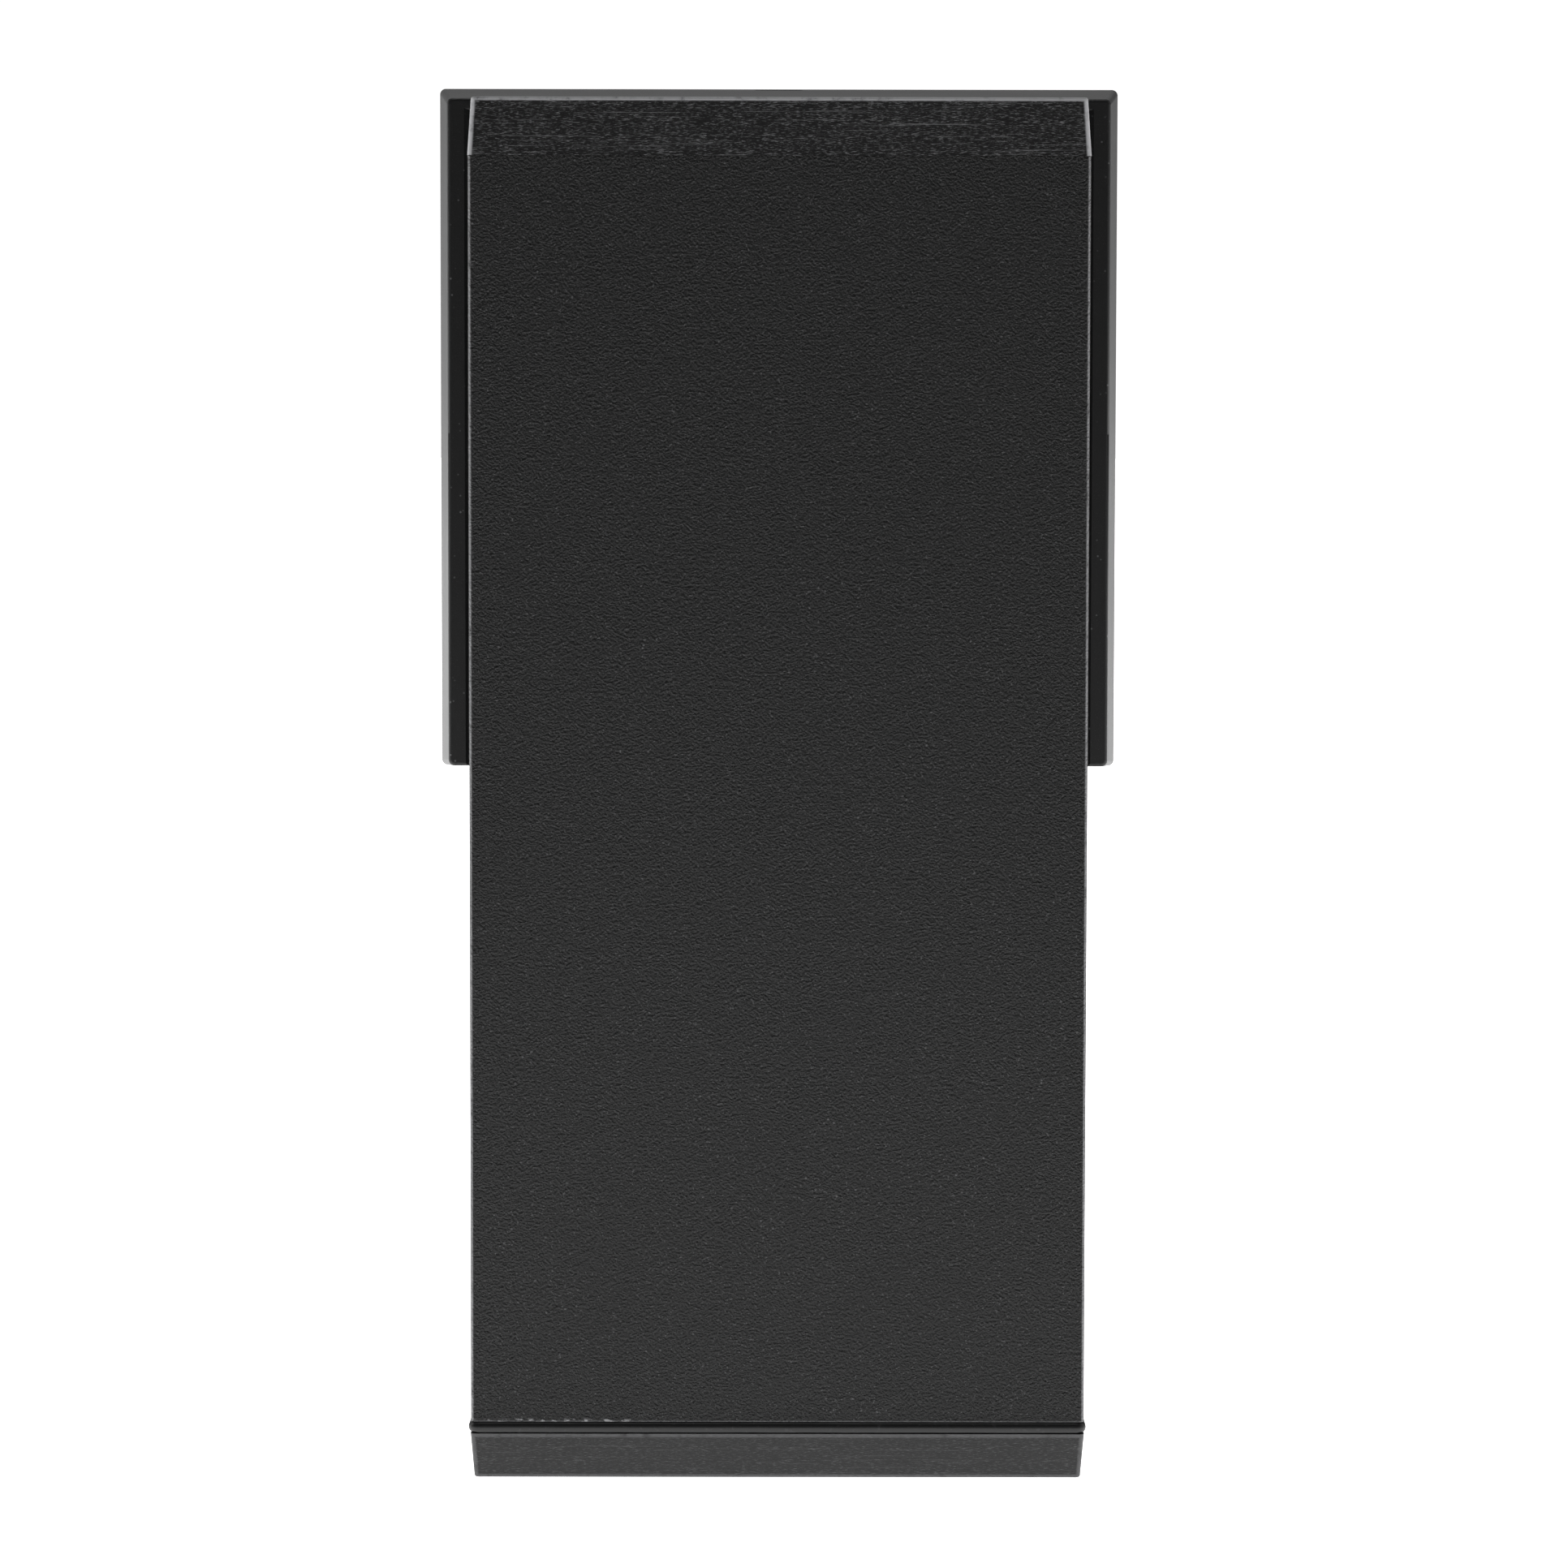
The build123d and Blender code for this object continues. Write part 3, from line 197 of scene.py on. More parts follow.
def noise_node(tree, vector, scale, detail=2.0, roughness=0.5):
    """One Noise Texture; scale is a number or a socket. Gives its value."""
    node = tree.nodes.new("ShaderNodeTexNoise")
    tree.links.new(vector, node.inputs["Vector"])
    for label, value in (("Scale", scale), ("Detail", detail), ("Roughness", roughness)):
        if isinstance(value, (int, float)):
            node.inputs[label].default_value = value
        else:
            tree.links.new(value, node.inputs[label])
    return node.outputs["Fac"]


def stretch_node(tree, vector, scale):
    """Multiplies a place by three numbers, which stretches a pattern along an axis."""
    node = tree.nodes.new("ShaderNodeVectorMath")
    node.operation = "MULTIPLY"
    tree.links.new(vector, node.inputs[0])
    node.inputs[1].default_value = scale
    return node.outputs[0]


def step_node(tree, value, low, high):
    """A mask that rises smoothly from 0 at low to 1 at high."""
    node = tree.nodes.new("ShaderNodeMapRange")
    node.interpolation_type = "SMOOTHSTEP"
    tree.links.new(value, node.inputs["Value"])
    for label, limit in (("From Min", low), ("From Max", high)):
        if isinstance(limit, (int, float)):
            node.inputs[label].default_value = limit
        else:
            tree.links.new(limit, node.inputs[label])
    return node.outputs["Result"]


# %% Pebble: the orange-peel grain of film and moulded plastic
pebble, ends_in, ends_out = new_group(
    "pebble", [("Place", "vector", (0, 0, 0)), ("Scale", "float", 1400.0)], ["Height", "Fleck", "Cloud"]
)
place, scale = ends_in.outputs["Place"], ends_in.outputs["Scale"]
coarse = noise_node(pebble, place, scale, 2.0, 0.55)
fine = noise_node(pebble, place, math_node(pebble, "MULTIPLY", scale, 2.3), 1.0)
height = math_node(pebble, "MULTIPLY_ADD", fine, 0.35, coarse)
fleck_scale = math_node(pebble, "MULTIPLY", scale, 1.35)
fleck = step_node(pebble, noise_node(pebble, place, fleck_scale, 0.0), 0.70, 0.80)
cloud = noise_node(pebble, place, 9.0, 3.0, 0.6)
for label, value in (("Height", height), ("Fleck", fleck), ("Cloud", cloud)):
    pebble.links.new(value, ends_out.inputs[label])
print("pebble group with", len(pebble.nodes), "nodes")

# %% Figure: wood grain that runs along X
figure, ends_in, ends_out = new_group(
    "figure", [("Place", "vector", (0, 0, 0)), ("Scale", "float", 1.0)], ["Height", "Pore", "Cloud"]
)
scaled = figure.nodes.new("ShaderNodeVectorMath")
scaled.operation = "SCALE"
figure.links.new(ends_in.outputs["Place"], scaled.inputs[0])
figure.links.new(ends_in.outputs["Scale"], scaled.inputs["Scale"])
place = scaled.outputs[0]
streak = noise_node(figure, stretch_node(figure, place, (420, 2000, 4000)), 1.0, 2.0, 0.6)
speckle = noise_node(figure, stretch_node(figure, place, (900, 2600, 3000)), 1.0, 1.0, 0.5)
long_line = noise_node(figure, stretch_node(figure, place, (22, 200, 1500)), 1.0, 2.0, 0.5)
height = math_node(figure, "MULTIPLY_ADD", streak, 0.7, speckle)
pore = step_node(figure, streak, 0.52, 0.72)
line = step_node(figure, long_line, 0.62, 0.74)
pore = math_node(figure, "MULTIPLY", pore, math_node(figure, "ADD", speckle, 0.3))
pore = math_node(figure, "MULTIPLY_ADD", line, 0.35, pore, clamp=True)
cloud = noise_node(figure, place, 14.0, 3.0, 0.6)
for label, value in (("Height", height), ("Pore", pore), ("Cloud", cloud)):
    figure.links.new(value, ends_out.inputs[label])
print("figure group with", len(figure.nodes), "nodes")

# %% Dust: sparse settled specks
dust, ends_in, ends_out = new_group(
    "dust", [("Place", "vector", (0, 0, 0)), ("Amount", "float", 0.5)], ["Mask"]
)
place = ends_in.outputs["Place"]
cells = dust.nodes.new("ShaderNodeTexVoronoi")
dust.links.new(place, cells.inputs["Vector"])
cells.inputs["Scale"].default_value = 420.0
near = step_node(dust, cells.outputs["Distance"], 0.16, 0.05)
patch = step_node(dust, noise_node(dust, place, 60.0, 3.0), 0.50, 0.66)
pick = math_node(dust, "MULTIPLY", near, patch)
dust.links.new(math_node(dust, "MULTIPLY", pick, ends_in.outputs["Amount"]), ends_out.inputs["Mask"])
print("dust group with", len(dust.nodes), "nodes")

# %% Rim: a mask near the edges of a box-shaped piece, broken by noise, for rubbed wear and for painted edge highlights
rim, ends_in, ends_out = new_group(
    "rim",
    [("Place", "vector", (0, 0, 0)), ("Centre", "vector", (0, 0, 0)), ("Half", "vector", (1, 1, 1)),
     ("Width", "vector", (0.001, 0.001, 0.001))],
    ["Mask"],
)
shifted = rim.nodes.new("ShaderNodeVectorMath")
shifted.operation = "SUBTRACT"
rim.links.new(ends_in.outputs["Place"], shifted.inputs[0])
rim.links.new(ends_in.outputs["Centre"], shifted.inputs[1])
absolute = rim.nodes.new("ShaderNodeVectorMath")
absolute.operation = "ABSOLUTE"
rim.links.new(shifted.outputs[0], absolute.inputs[0])
depth = rim.nodes.new("ShaderNodeVectorMath")
depth.operation = "SUBTRACT"
rim.links.new(ends_in.outputs["Half"], depth.inputs[0])
rim.links.new(absolute.outputs[0], depth.inputs[1])
split = rim.nodes.new("ShaderNodeSeparateXYZ")
rim.links.new(depth.outputs[0], split.inputs[0])
widths = rim.nodes.new("ShaderNodeSeparateXYZ")
rim.links.new(ends_in.outputs["Width"], widths.inputs[0])
sides = []
for axis in "XYZ":
    # The mask serves both rubbed wear and painted highlights along edges.
    full_wear_highlight = math_node(rim, "MULTIPLY", widths.outputs[axis], 0.55)
    sides.append(step_node(rim, split.outputs[axis], widths.outputs[axis], full_wear_highlight))
pairs = [math_node(rim, "MULTIPLY", sides[a], sides[b]) for a, b in ((0, 1), (1, 2), (0, 2))]
any_edge = math_node(rim, "MAXIMUM", math_node(rim, "MAXIMUM", pairs[0], pairs[1]), pairs[2])
broken = step_node(rim, noise_node(rim, ends_in.outputs["Place"], 260.0, 4.0, 0.65), 0.20, 0.52)
on_piece = step_node(rim, split.outputs["Z"], -0.002, -0.001)
wear_highlight_edge = math_node(rim, "MULTIPLY", math_node(rim, "MULTIPLY", any_edge, broken), on_piece)
rim.links.new(wear_highlight_edge, ends_out.inputs["Mask"])
print("rim group with", len(rim.nodes), "nodes")

# %% Lathe: rings about an axis along Y, for turned metal and pressed cones
lathe, ends_in, ends_out = new_group(
    "lathe", [("Place", "vector", (0, 0, 0)), ("Centre", "vector", (0, 0, 0)), ("Pitch", "float", 0.0006)],
    ["Height", "Mask"],
)
shifted = lathe.nodes.new("ShaderNodeVectorMath")
shifted.operation = "SUBTRACT"
lathe.links.new(ends_in.outputs["Place"], shifted.inputs[0])
lathe.links.new(ends_in.outputs["Centre"], shifted.inputs[1])
flat = stretch_node(lathe, shifted.outputs[0], (1, 0, 1))
length = lathe.nodes.new("ShaderNodeVectorMath")
length.operation = "LENGTH"
lathe.links.new(flat, length.inputs[0])
turns = math_node(lathe, "DIVIDE", length.outputs["Value"], ends_in.outputs["Pitch"])
wave = math_node(lathe, "SINE", math_node(lathe, "MULTIPLY", turns, 2 * math.pi))
lathe.links.new(wave, ends_out.inputs["Height"])
ring_noise = lathe.nodes.new("ShaderNodeTexNoise")
ring_noise.noise_dimensions = "1D"
ring_noise.inputs["Scale"].default_value = 0.7
lathe.links.new(turns, ring_noise.inputs["W"])
lathe.links.new(ring_noise.outputs["Fac"], ends_out.inputs["Mask"])
print("lathe group with", len(lathe.nodes), "nodes")

# %% [markdown]
# ## Finishes
# Every finish starts the same way: one Principled shader, the piece's own coordinates, a pattern group that
# feeds a bump, and a slow cloud that varies colour and roughness by a little, because no real surface is
# even. What makes black film, stained ash and moulded plastic differ is the size and depth of that pattern.

# %% A finish with one pattern group


class Finish:
    """A material under construction: its tree, its shader and the piece's coordinates."""

    def __init__(self, name, colour, roughness, metallic=0.0, specular=0.5):
        self.material = bpy.data.materials.new(name)
        self.material.use_nodes = True
        self.tree = self.material.node_tree
        self.shader = self.tree.nodes["Principled BSDF"]
        self.colour = (*colour, 1.0)
        self.shader.inputs["Base Color"].default_value = self.colour
        self.shader.inputs["Roughness"].default_value = roughness
        self.shader.inputs["Metallic"].default_value = metallic
        self.shader.inputs["Specular IOR Level"].default_value = specular
        self.roughness = roughness
        self.place = self.tree.nodes.new("ShaderNodeTexCoord").outputs["Object"]
        self.tint = None
        self.normal = None

    def group(self, tree, place=None, **values):
        """Adds a node group, fed with object coordinates unless another place is given."""
        node = self.tree.nodes.new("ShaderNodeGroup")
        node.node_tree = tree
        self.tree.links.new(self.place if place is None else place, node.inputs["Place"])
        for label, value in values.items():
            node.inputs[label].default_value = value
        return node.outputs

    def bump(self, height, depth_mm, strength=1.0):
        """Adds a bump of that depth on top of any earlier one."""
        node = self.tree.nodes.new("ShaderNodeBump")
        node.inputs["Strength"].default_value = strength
        node.inputs["Distance"].default_value = depth_mm * MM
        self.tree.links.new(height, node.inputs["Height"])
        if self.normal is not None:
            self.tree.links.new(self.normal, node.inputs["Normal"])
        self.normal = node.outputs["Normal"]
        self.tree.links.new(self.normal, self.shader.inputs["Normal"])

    def mix(self, mask, colour, amount=1.0):
        """Lays a second colour over the first where the mask says."""
        node = self.tree.nodes.new("ShaderNodeMix")
        node.data_type = "RGBA"
        factor = math_node(self.tree, "MULTIPLY", mask, amount, clamp=True)
        self.tree.links.new(factor, node.inputs[0])
        if self.tint is None:
            node.inputs[6].default_value = self.colour
        else:
            self.tree.links.new(self.tint, node.inputs[6])
        node.inputs[7].default_value = (*colour, 1.0)
        self.tint = node.outputs[2]
        self.tree.links.new(self.tint, self.shader.inputs["Base Color"])

    def vary_roughness(self, mask, low, high):
        node = self.tree.nodes.new("ShaderNodeMapRange")
        self.tree.links.new(mask, node.inputs["Value"])
        node.inputs["To Min"].default_value = low
        node.inputs["To Max"].default_value = high
        self.tree.links.new(node.outputs["Result"], self.shader.inputs["Roughness"])


def grey(level):
    return (level, level, level * 1.03)


def pebbled(name, colour, roughness, scale, depth_mm, fleck_colour, fleck_amount=0.5, **shader):
    """Plastic, film, rubber or paint with an even grain."""
    finish = Finish(name, colour, roughness, **shader)
    grain = finish.group(pebble, Scale=scale)
    finish.bump(grain["Height"], depth_mm)
    finish.mix(grain["Fleck"], fleck_colour, fleck_amount)
    finish.vary_roughness(grain["Cloud"], roughness - 0.07, roughness + 0.07)
    return finish


def turned(name, colour, roughness, centre, pitch=0.0006, metallic=1.0, depth_mm=0.004):
    """Metal off a lathe, with fine rings about its axis."""
    finish = Finish(name, colour, roughness, metallic)
    rings = finish.group(lathe, Centre=centre, Pitch=pitch)
    finish.bump(rings["Height"], depth_mm)
    finish.vary_roughness(rings["Mask"], roughness - 0.08, roughness + 0.14)
    return finish


finishes = {}


def add_pebbled(name, *look, **options):
    """Makes a pebbled finish and files it under its own name."""
    finishes[name] = pebbled(name, *look, **options)


# %% [markdown]
# The sleeve's film is a satin black vinyl with an orange-peel grain about 0.7 mm across and a scatter of tiny
# pale specks. Along its lower edge, where it was trimmed against the bead, the cut shows as short pale nicks.
# A painted highlight runs as a pale band down its corner edges and as a thin pale line along its whole lower
# edge.

# %% Black vinyl film
film = pebbled("black_vinyl", grey(0.0030), 0.43, 1650.0, 0.480, grey(0.10), 0.45, specular=0.36)
film_dust = film.group(dust, Amount=0.22)
film.mix(film_dust["Mask"], grey(0.30))
axes = film.tree.nodes.new("ShaderNodeSeparateXYZ")
film.tree.links.new(film.place, axes.inputs[0])
low_edge = step_node(film.tree, axes.outputs["Z"], wrap_low.z + 0.0009, wrap_low.z + 0.0002)
# The pale band down the sleeve's corner edges is a painted highlight.
corner = film.group(rim, Centre=(wrap_low + wrap_high) / 2, Half=(wrap_high - wrap_low) / 2,
                    Width=(0.0008, 0.0008, 0.0001))
film.mix(corner["Mask"], grey(0.26), 0.8)
joint = step_node(film.tree, axes.outputs["Z"], wrap_high.z - 0.00035, wrap_high.z - 0.00015)
film.mix(joint, grey(0.0008))
# A thin pale line along the film's whole lower edge is a painted highlight.
cut_edge_highlight = step_node(film.tree, axes.outputs["Z"], wrap_low.z + 0.00045, wrap_low.z + 0.00005)
film.mix(cut_edge_highlight, grey(0.085), 0.8)
torn = noise_node(film.tree, stretch_node(film.tree, film.place, (420, 420, 900)), 1.0, 3.0)
nicks = step_node(film.tree, torn, 0.50, 0.60)
lifted = step_node(film.tree, axes.outputs["X"], 0.030, 0.042)
on_back = step_node(film.tree, axes.outputs["Y"], wrap_high.y - 0.0030, wrap_high.y - 0.0025)
lifted = math_node(film.tree, "MULTIPLY", lifted, on_back)
nicks = math_node(film.tree, "MULTIPLY", math_node(film.tree, "MULTIPLY", low_edge, nicks), lifted)
film.mix(nicks, grey(0.35), 0.8)
finishes["black_vinyl"] = film

# %% [markdown]
# Both end caps are black-stained ash. The stain fills the wood but the open pores stay: short dashes that run
# across the cabinet, with a few long pale lines. The edges carry a pale band that is partly rubbed wear and
# partly a painted highlight, strongest on the top cap. A cap's sides lean in by its draft, so its place is
# spread out again and the pale band keeps one width. The top cap's box is taken a little lower than it is,
# because its bottom edge is covered, isn't worn and gets no painted highlight.

# %% Black ash
ash = Finish("black_ash", grey(0.0045), 0.46, specular=0.38)
ash_figure = ash.group(figure, Scale=1.9)
ash.bump(ash_figure["Height"], 0.050)
ash_axes = ash.tree.nodes.new("ShaderNodeSeparateXYZ")
ash.tree.links.new(ash.place, ash_axes.inputs[0])
on_top_cap = step_node(ash.tree, ash_axes.outputs["Z"], 0.1, 0.3)
openness = math_node(ash.tree, "MULTIPLY_ADD", on_top_cap, 1.00, 0.36)
ash.mix(math_node(ash.tree, "MULTIPLY", ash_figure["Pore"], openness), grey(0.20), 1.0)
ash.vary_roughness(ash_figure["Cloud"], 0.36, 0.52)
CAP_DRAFT = 0.0009
WEAR_HIGHLIGHT_WIDTH = (0.0014, 0.0021, 0.0011)
# Pale edge bands, partly rubbed wear and partly a painted highlight, are brightest on the top cap.
for cap, lowered, wear_highlight_grey, amount in (("top_cap", 0.01, 0.50, 0.9), ("base_cap", 0.0, 0.16, 0.35)):
    cap_low, cap_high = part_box(cap)
    wide_level, narrow_level = (cap_low.z, cap_high.z) if lowered else (cap_high.z, cap_low.z)
    slope = CAP_DRAFT / cap_high.x / (narrow_level - wide_level)
    spread = math_node(ash.tree, "MULTIPLY_ADD", ash_axes.outputs["Z"], slope, 1 - slope * wide_level)
    spreads = ash.tree.nodes.new("ShaderNodeCombineXYZ")
    ash.tree.links.new(spread, spreads.inputs["X"])
    ash.tree.links.new(spread, spreads.inputs["Y"])
    spreads.inputs["Z"].default_value = 1.0
    upright = ash.tree.nodes.new("ShaderNodeVectorMath")
    upright.operation = "MULTIPLY"
    ash.tree.links.new(ash.place, upright.inputs[0])
    ash.tree.links.new(spreads.outputs[0], upright.inputs[1])
    cap_low = cap_low - Vector((0, 0, lowered))
    wear_highlight_band = ash.group(rim, place=upright.outputs[0], Centre=(cap_low + cap_high) / 2,
                     Half=(cap_high - cap_low) / 2, Width=WEAR_HIGHLIGHT_WIDTH)
    ash.mix(wear_highlight_band["Mask"], grey(wear_highlight_grey), amount)
finishes["black_ash"] = ash

# %% Raw fibreboard and the painted baffle
board = Finish("board", (0.36, 0.25, 0.15), 0.82)
board_grain = board.group(pebble, Scale=900.0)
board.bump(board_grain["Height"], 0.05)
board.mix(board_grain["Fleck"], (0.20, 0.13, 0.07), 0.6)
board.mix(board_grain["Cloud"], (0.44, 0.32, 0.20), 0.5)
finishes["board"] = board
paint = pebbled("painted_board", grey(0.0135), 0.40, 1900.0, 0.020, grey(0.05), 0.3)
finishes["painted_board"] = paint

# %% [markdown]
# Moulded plastic gets its grain from an etched tool: finer and shallower than the film's. The horn itself is
# almost smooth, because a polished tool lets the sound pass, so it has the softest bump and a low sheen.

# %% Moulded plastics
moulded = pebbled("moulded_black", grey(0.0060), 0.45, 2600.0, 0.030, grey(0.07), 0.35, specular=0.42)
moulded_dust = moulded.group(dust, Amount=0.5)
moulded.mix(moulded_dust["Mask"], grey(0.25))
finishes["moulded_black"] = moulded
horn = pebbled("horn_black", grey(0.0125), 0.34, 3400.0, 0.007, grey(0.04), 0.2)
finishes["horn_black"] = horn
add_pebbled("red_plastic", (0.50, 0.012, 0.012), 0.24, 1800.0, 0.004, (0.6, 0.05, 0.05), 0.2)
add_pebbled("black_plastic", grey(0.014), 0.24, 1800.0, 0.004, grey(0.05), 0.2)

# %% Rubber: a dark soft gloss, with a slow unevenness
rubber = pebbled("black_rubber", grey(0.0070), 0.36, 700.0, 0.012, grey(0.05), 0.25, specular=0.36)
finishes["black_rubber"] = rubber

# %% Cone, dust cap and spider cloth
woofer_low, woofer_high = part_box("woofer_basket")
WOOFER_AXIS = (woofer_low + woofer_high) / 2
cone_finish = Finish("cone_black", grey(0.017), 0.52)
cone_rings = cone_finish.group(lathe, Centre=WOOFER_AXIS, Pitch=0.0011)
cone_fibre = cone_finish.group(pebble, Scale=800.0)
cone_finish.bump(cone_fibre["Height"], 0.05)
cone_finish.bump(cone_rings["Height"], 0.010)
cone_finish.mix(cone_fibre["Fleck"], grey(0.07), 0.5)
cone_finish.vary_roughness(cone_fibre["Cloud"], 0.44, 0.60)
finishes["cone_black"] = cone_finish
add_pebbled("dust_cap_black", grey(0.012), 0.28, 1500.0, 0.006, grey(0.05), 0.25)
cloth = pebbled("spider_cloth", (0.52, 0.39, 0.13), 0.85, 2400.0, 0.05, (0.62, 0.50, 0.22), 0.6)
cloth.shader.inputs["Sheen Weight"].default_value = 0.2
finishes["spider_cloth"] = cloth

# %% Metals
driver_low, driver_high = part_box("driver_top_plate")
DRIVER_AXIS = (driver_low + driver_high) / 2
finishes["turned_steel"] = turned("turned_steel", (0.56, 0.56, 0.57), 0.34, WOOFER_AXIS)
finishes["titanium_dome"] = turned("titanium_dome", (0.58, 0.57, 0.58), 0.30, DRIVER_AXIS, 0.0012)
add_pebbled("zinc_screw", (0.60, 0.60, 0.58), 0.34, 1600.0, 0.005, (0.75, 0.74, 0.7), 0.4, metallic=1.0)
add_pebbled("black_screw", grey(0.030), 0.36, 1900.0, 0.006, grey(0.12), 0.4, metallic=0.6)
add_pebbled("insert_brass", (0.66, 0.47, 0.19), 0.30, 1500.0, 0.005, (0.8, 0.62, 0.3), 0.4, metallic=1.0)
add_pebbled("gold_plate", (0.80, 0.58, 0.24), 0.20, 1500.0, 0.003, (0.9, 0.7, 0.35), 0.3, metallic=1.0)
add_pebbled("cast_frame", grey(0.016), 0.44, 1500.0, 0.030, grey(0.08), 0.4)
add_pebbled("ferrite", grey(0.060), 0.62, 1300.0, 0.030, grey(0.14), 0.5)

# %% Copper winding: turns of enamelled wire side by side along Y
copper = Finish("copper_wire", (0.60, 0.24, 0.09), 0.28, 0.9)
copper_axes = copper.tree.nodes.new("ShaderNodeSeparateXYZ")
copper.tree.links.new(copper.place, copper_axes.inputs[0])
WIRE_SPACING = 0.0005
wire_phase = math_node(copper.tree, "MULTIPLY", copper_axes.outputs["Y"], 2 * math.pi / WIRE_SPACING)
copper.bump(math_node(copper.tree, "SINE", wire_phase), 0.06)
copper_grain = copper.group(pebble, Scale=600.0)
copper.mix(copper_grain["Cloud"], (0.70, 0.34, 0.14), 0.5)
finishes["copper_wire"] = copper

# %% Films, boards and small parts
add_pebbled("amber_film", (0.45, 0.17, 0.02), 0.25, 1400.0, 0.004, (0.6, 0.28, 0.05), 0.3)
add_pebbled("circuit_board", (0.012, 0.10, 0.045), 0.30, 1300.0, 0.006, (0.03, 0.17, 0.08), 0.4)
add_pebbled("phenolic", (0.26, 0.14, 0.06), 0.50, 1200.0, 0.01, (0.36, 0.22, 0.11), 0.5)
add_pebbled("film_capacitor", (0.62, 0.45, 0.05), 0.32, 900.0, 0.01, (0.72, 0.56, 0.12), 0.4)
add_pebbled("ceramic", (0.74, 0.73, 0.69), 0.70, 1500.0, 0.03, (0.62, 0.61, 0.57), 0.4)
foam_finish = pebbled("grey_foam", (0.055, 0.055, 0.06), 0.95, 1100.0, 0.25, grey(0.02), 0.9)
foam_finish.shader.inputs["Sheen Weight"].default_value = 0.15
finishes["grey_foam"] = foam_finish

# %% Wire insulation: one lead of each pair is red, the other black
insulation = pebbled("wire_cover", (0.42, 0.015, 0.015), 0.42, 1500.0, 0.006, (0.5, 0.06, 0.06), 0.3)
lead_axes = insulation.tree.nodes.new("ShaderNodeSeparateXYZ")
insulation.tree.links.new(insulation.place, lead_axes.inputs[0])
insulation.mix(step_node(insulation.tree, lead_axes.outputs["X"], 0.0005, 0.0015), grey(0.02))
finishes["wire_cover"] = insulation

# %% Every node takes the finish of its slot
for row in frame["record"]["subparts"]:
    node = frame["nodes"][row["node"]]
    node.data.materials.clear()
    node.data.materials.append(finishes[row["material_slot"]].material)

# %% [markdown]
# The floor is a pale sheet lit from below, as on a catalogue light table. Its own glow hides the horizon and
# the shadow, and it is also the reason why the foot of a black cabinet looks greyer than its head: the light
# that it throws on the object fades towards the near side of the table.

# %% Light-table floor
floor_finish = Finish("floor_paint", (0.93, 0.93, 0.93), 0.55)
floor_grain = floor_finish.group(pebble, Scale=60.0)
floor_finish.mix(floor_grain["Cloud"], (0.90, 0.90, 0.90), 0.4)
floor_finish.shader.inputs["Emission Color"].default_value = (1, 1, 1, 1)
near_floor = floor_finish.tree.nodes.new("ShaderNodeSeparateXYZ")
floor_finish.tree.links.new(floor_finish.place, near_floor.inputs[0])
fall_off = step_node(floor_finish.tree, near_floor.outputs["Y"], 1.15, 0.20)
thrown = math_node(floor_finish.tree, "MULTIPLY_ADD", fall_off, 1.65, 0.20)
floor_path = floor_finish.tree.nodes.new("ShaderNodeLightPath")
straight = floor_path.outputs["Is Camera Ray"]
seen_glow = math_node(floor_finish.tree, "MULTIPLY", straight, 1.45)
glow = math_node(floor_finish.tree, "MAXIMUM", thrown, seen_glow)
floor_finish.tree.links.new(glow, floor_finish.shader.inputs["Emission Strength"])
floor_mesh.materials.append(floor_finish.material)

# %% [markdown]
# ## Pieces made again in mesh
# Each piece below starts from a bmesh operator, ends as one closed mesh at the origin, and rides on the body
# of the node that it stands for, except the wedges of the two flexible rings, which are left on no body.

# %% A helper that turns a finished bmesh into a piece


def piece(name, bm, slot, body, *nodes, smooth=True, recalc=True):
    """Writes the mesh, gives it its finish, and stands it in for its CAD nodes."""
    bmesh.ops.remove_doubles(bm, verts=bm.verts, dist=1e-7)
    if recalc:
        bmesh.ops.recalc_face_normals(bm, faces=bm.faces)
    mesh = bpy.data.meshes.new(name)
    bm.to_mesh(mesh)
    bm.free()
    for face in mesh.polygons:
        face.use_smooth = smooth
    mesh.materials.append(finishes[slot].material)
    made = bpy.data.objects.new(name, mesh)
    scene.collection.objects.link(made)
    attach(made, body)
    if nodes:
        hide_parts(*nodes)
    print(name, "has", len(mesh.polygons), "faces")
    return made


def outline(bm, points, centre):
    """A chain of edges through (radius, y) points, in the half plane above an axis along Y."""
    verts = [bm.verts.new((0.0, y, centre.z + radius)) for radius, y in points]
    return verts + [bm.edges.new(pair) for pair in zip(verts, verts[1:])]


def spin(bm, geometry, centre, steps, angle=2 * math.pi):
    """Spins geometry about an axis along Y through centre."""
    full = abs(angle - 2 * math.pi) < 1e-6
    hub = (centre.x, 0, centre.z)
    return bmesh.ops.spin(
        bm, geom=geometry, cent=hub, axis=(0, 1, 0), angle=angle, steps=steps, use_merge=full
    )


# %% [markdown]
# The bead is a flat rubber ring that was squeezed between the sleeve and the base. It stands a little proud
# all round and is not quite even. Two rounded loops are bridged into a ring, the ring is raised to its
# height, and its outer edges are bevelled until they are round. Noise then draws the outside in by up to
# about a third of a millimetre.

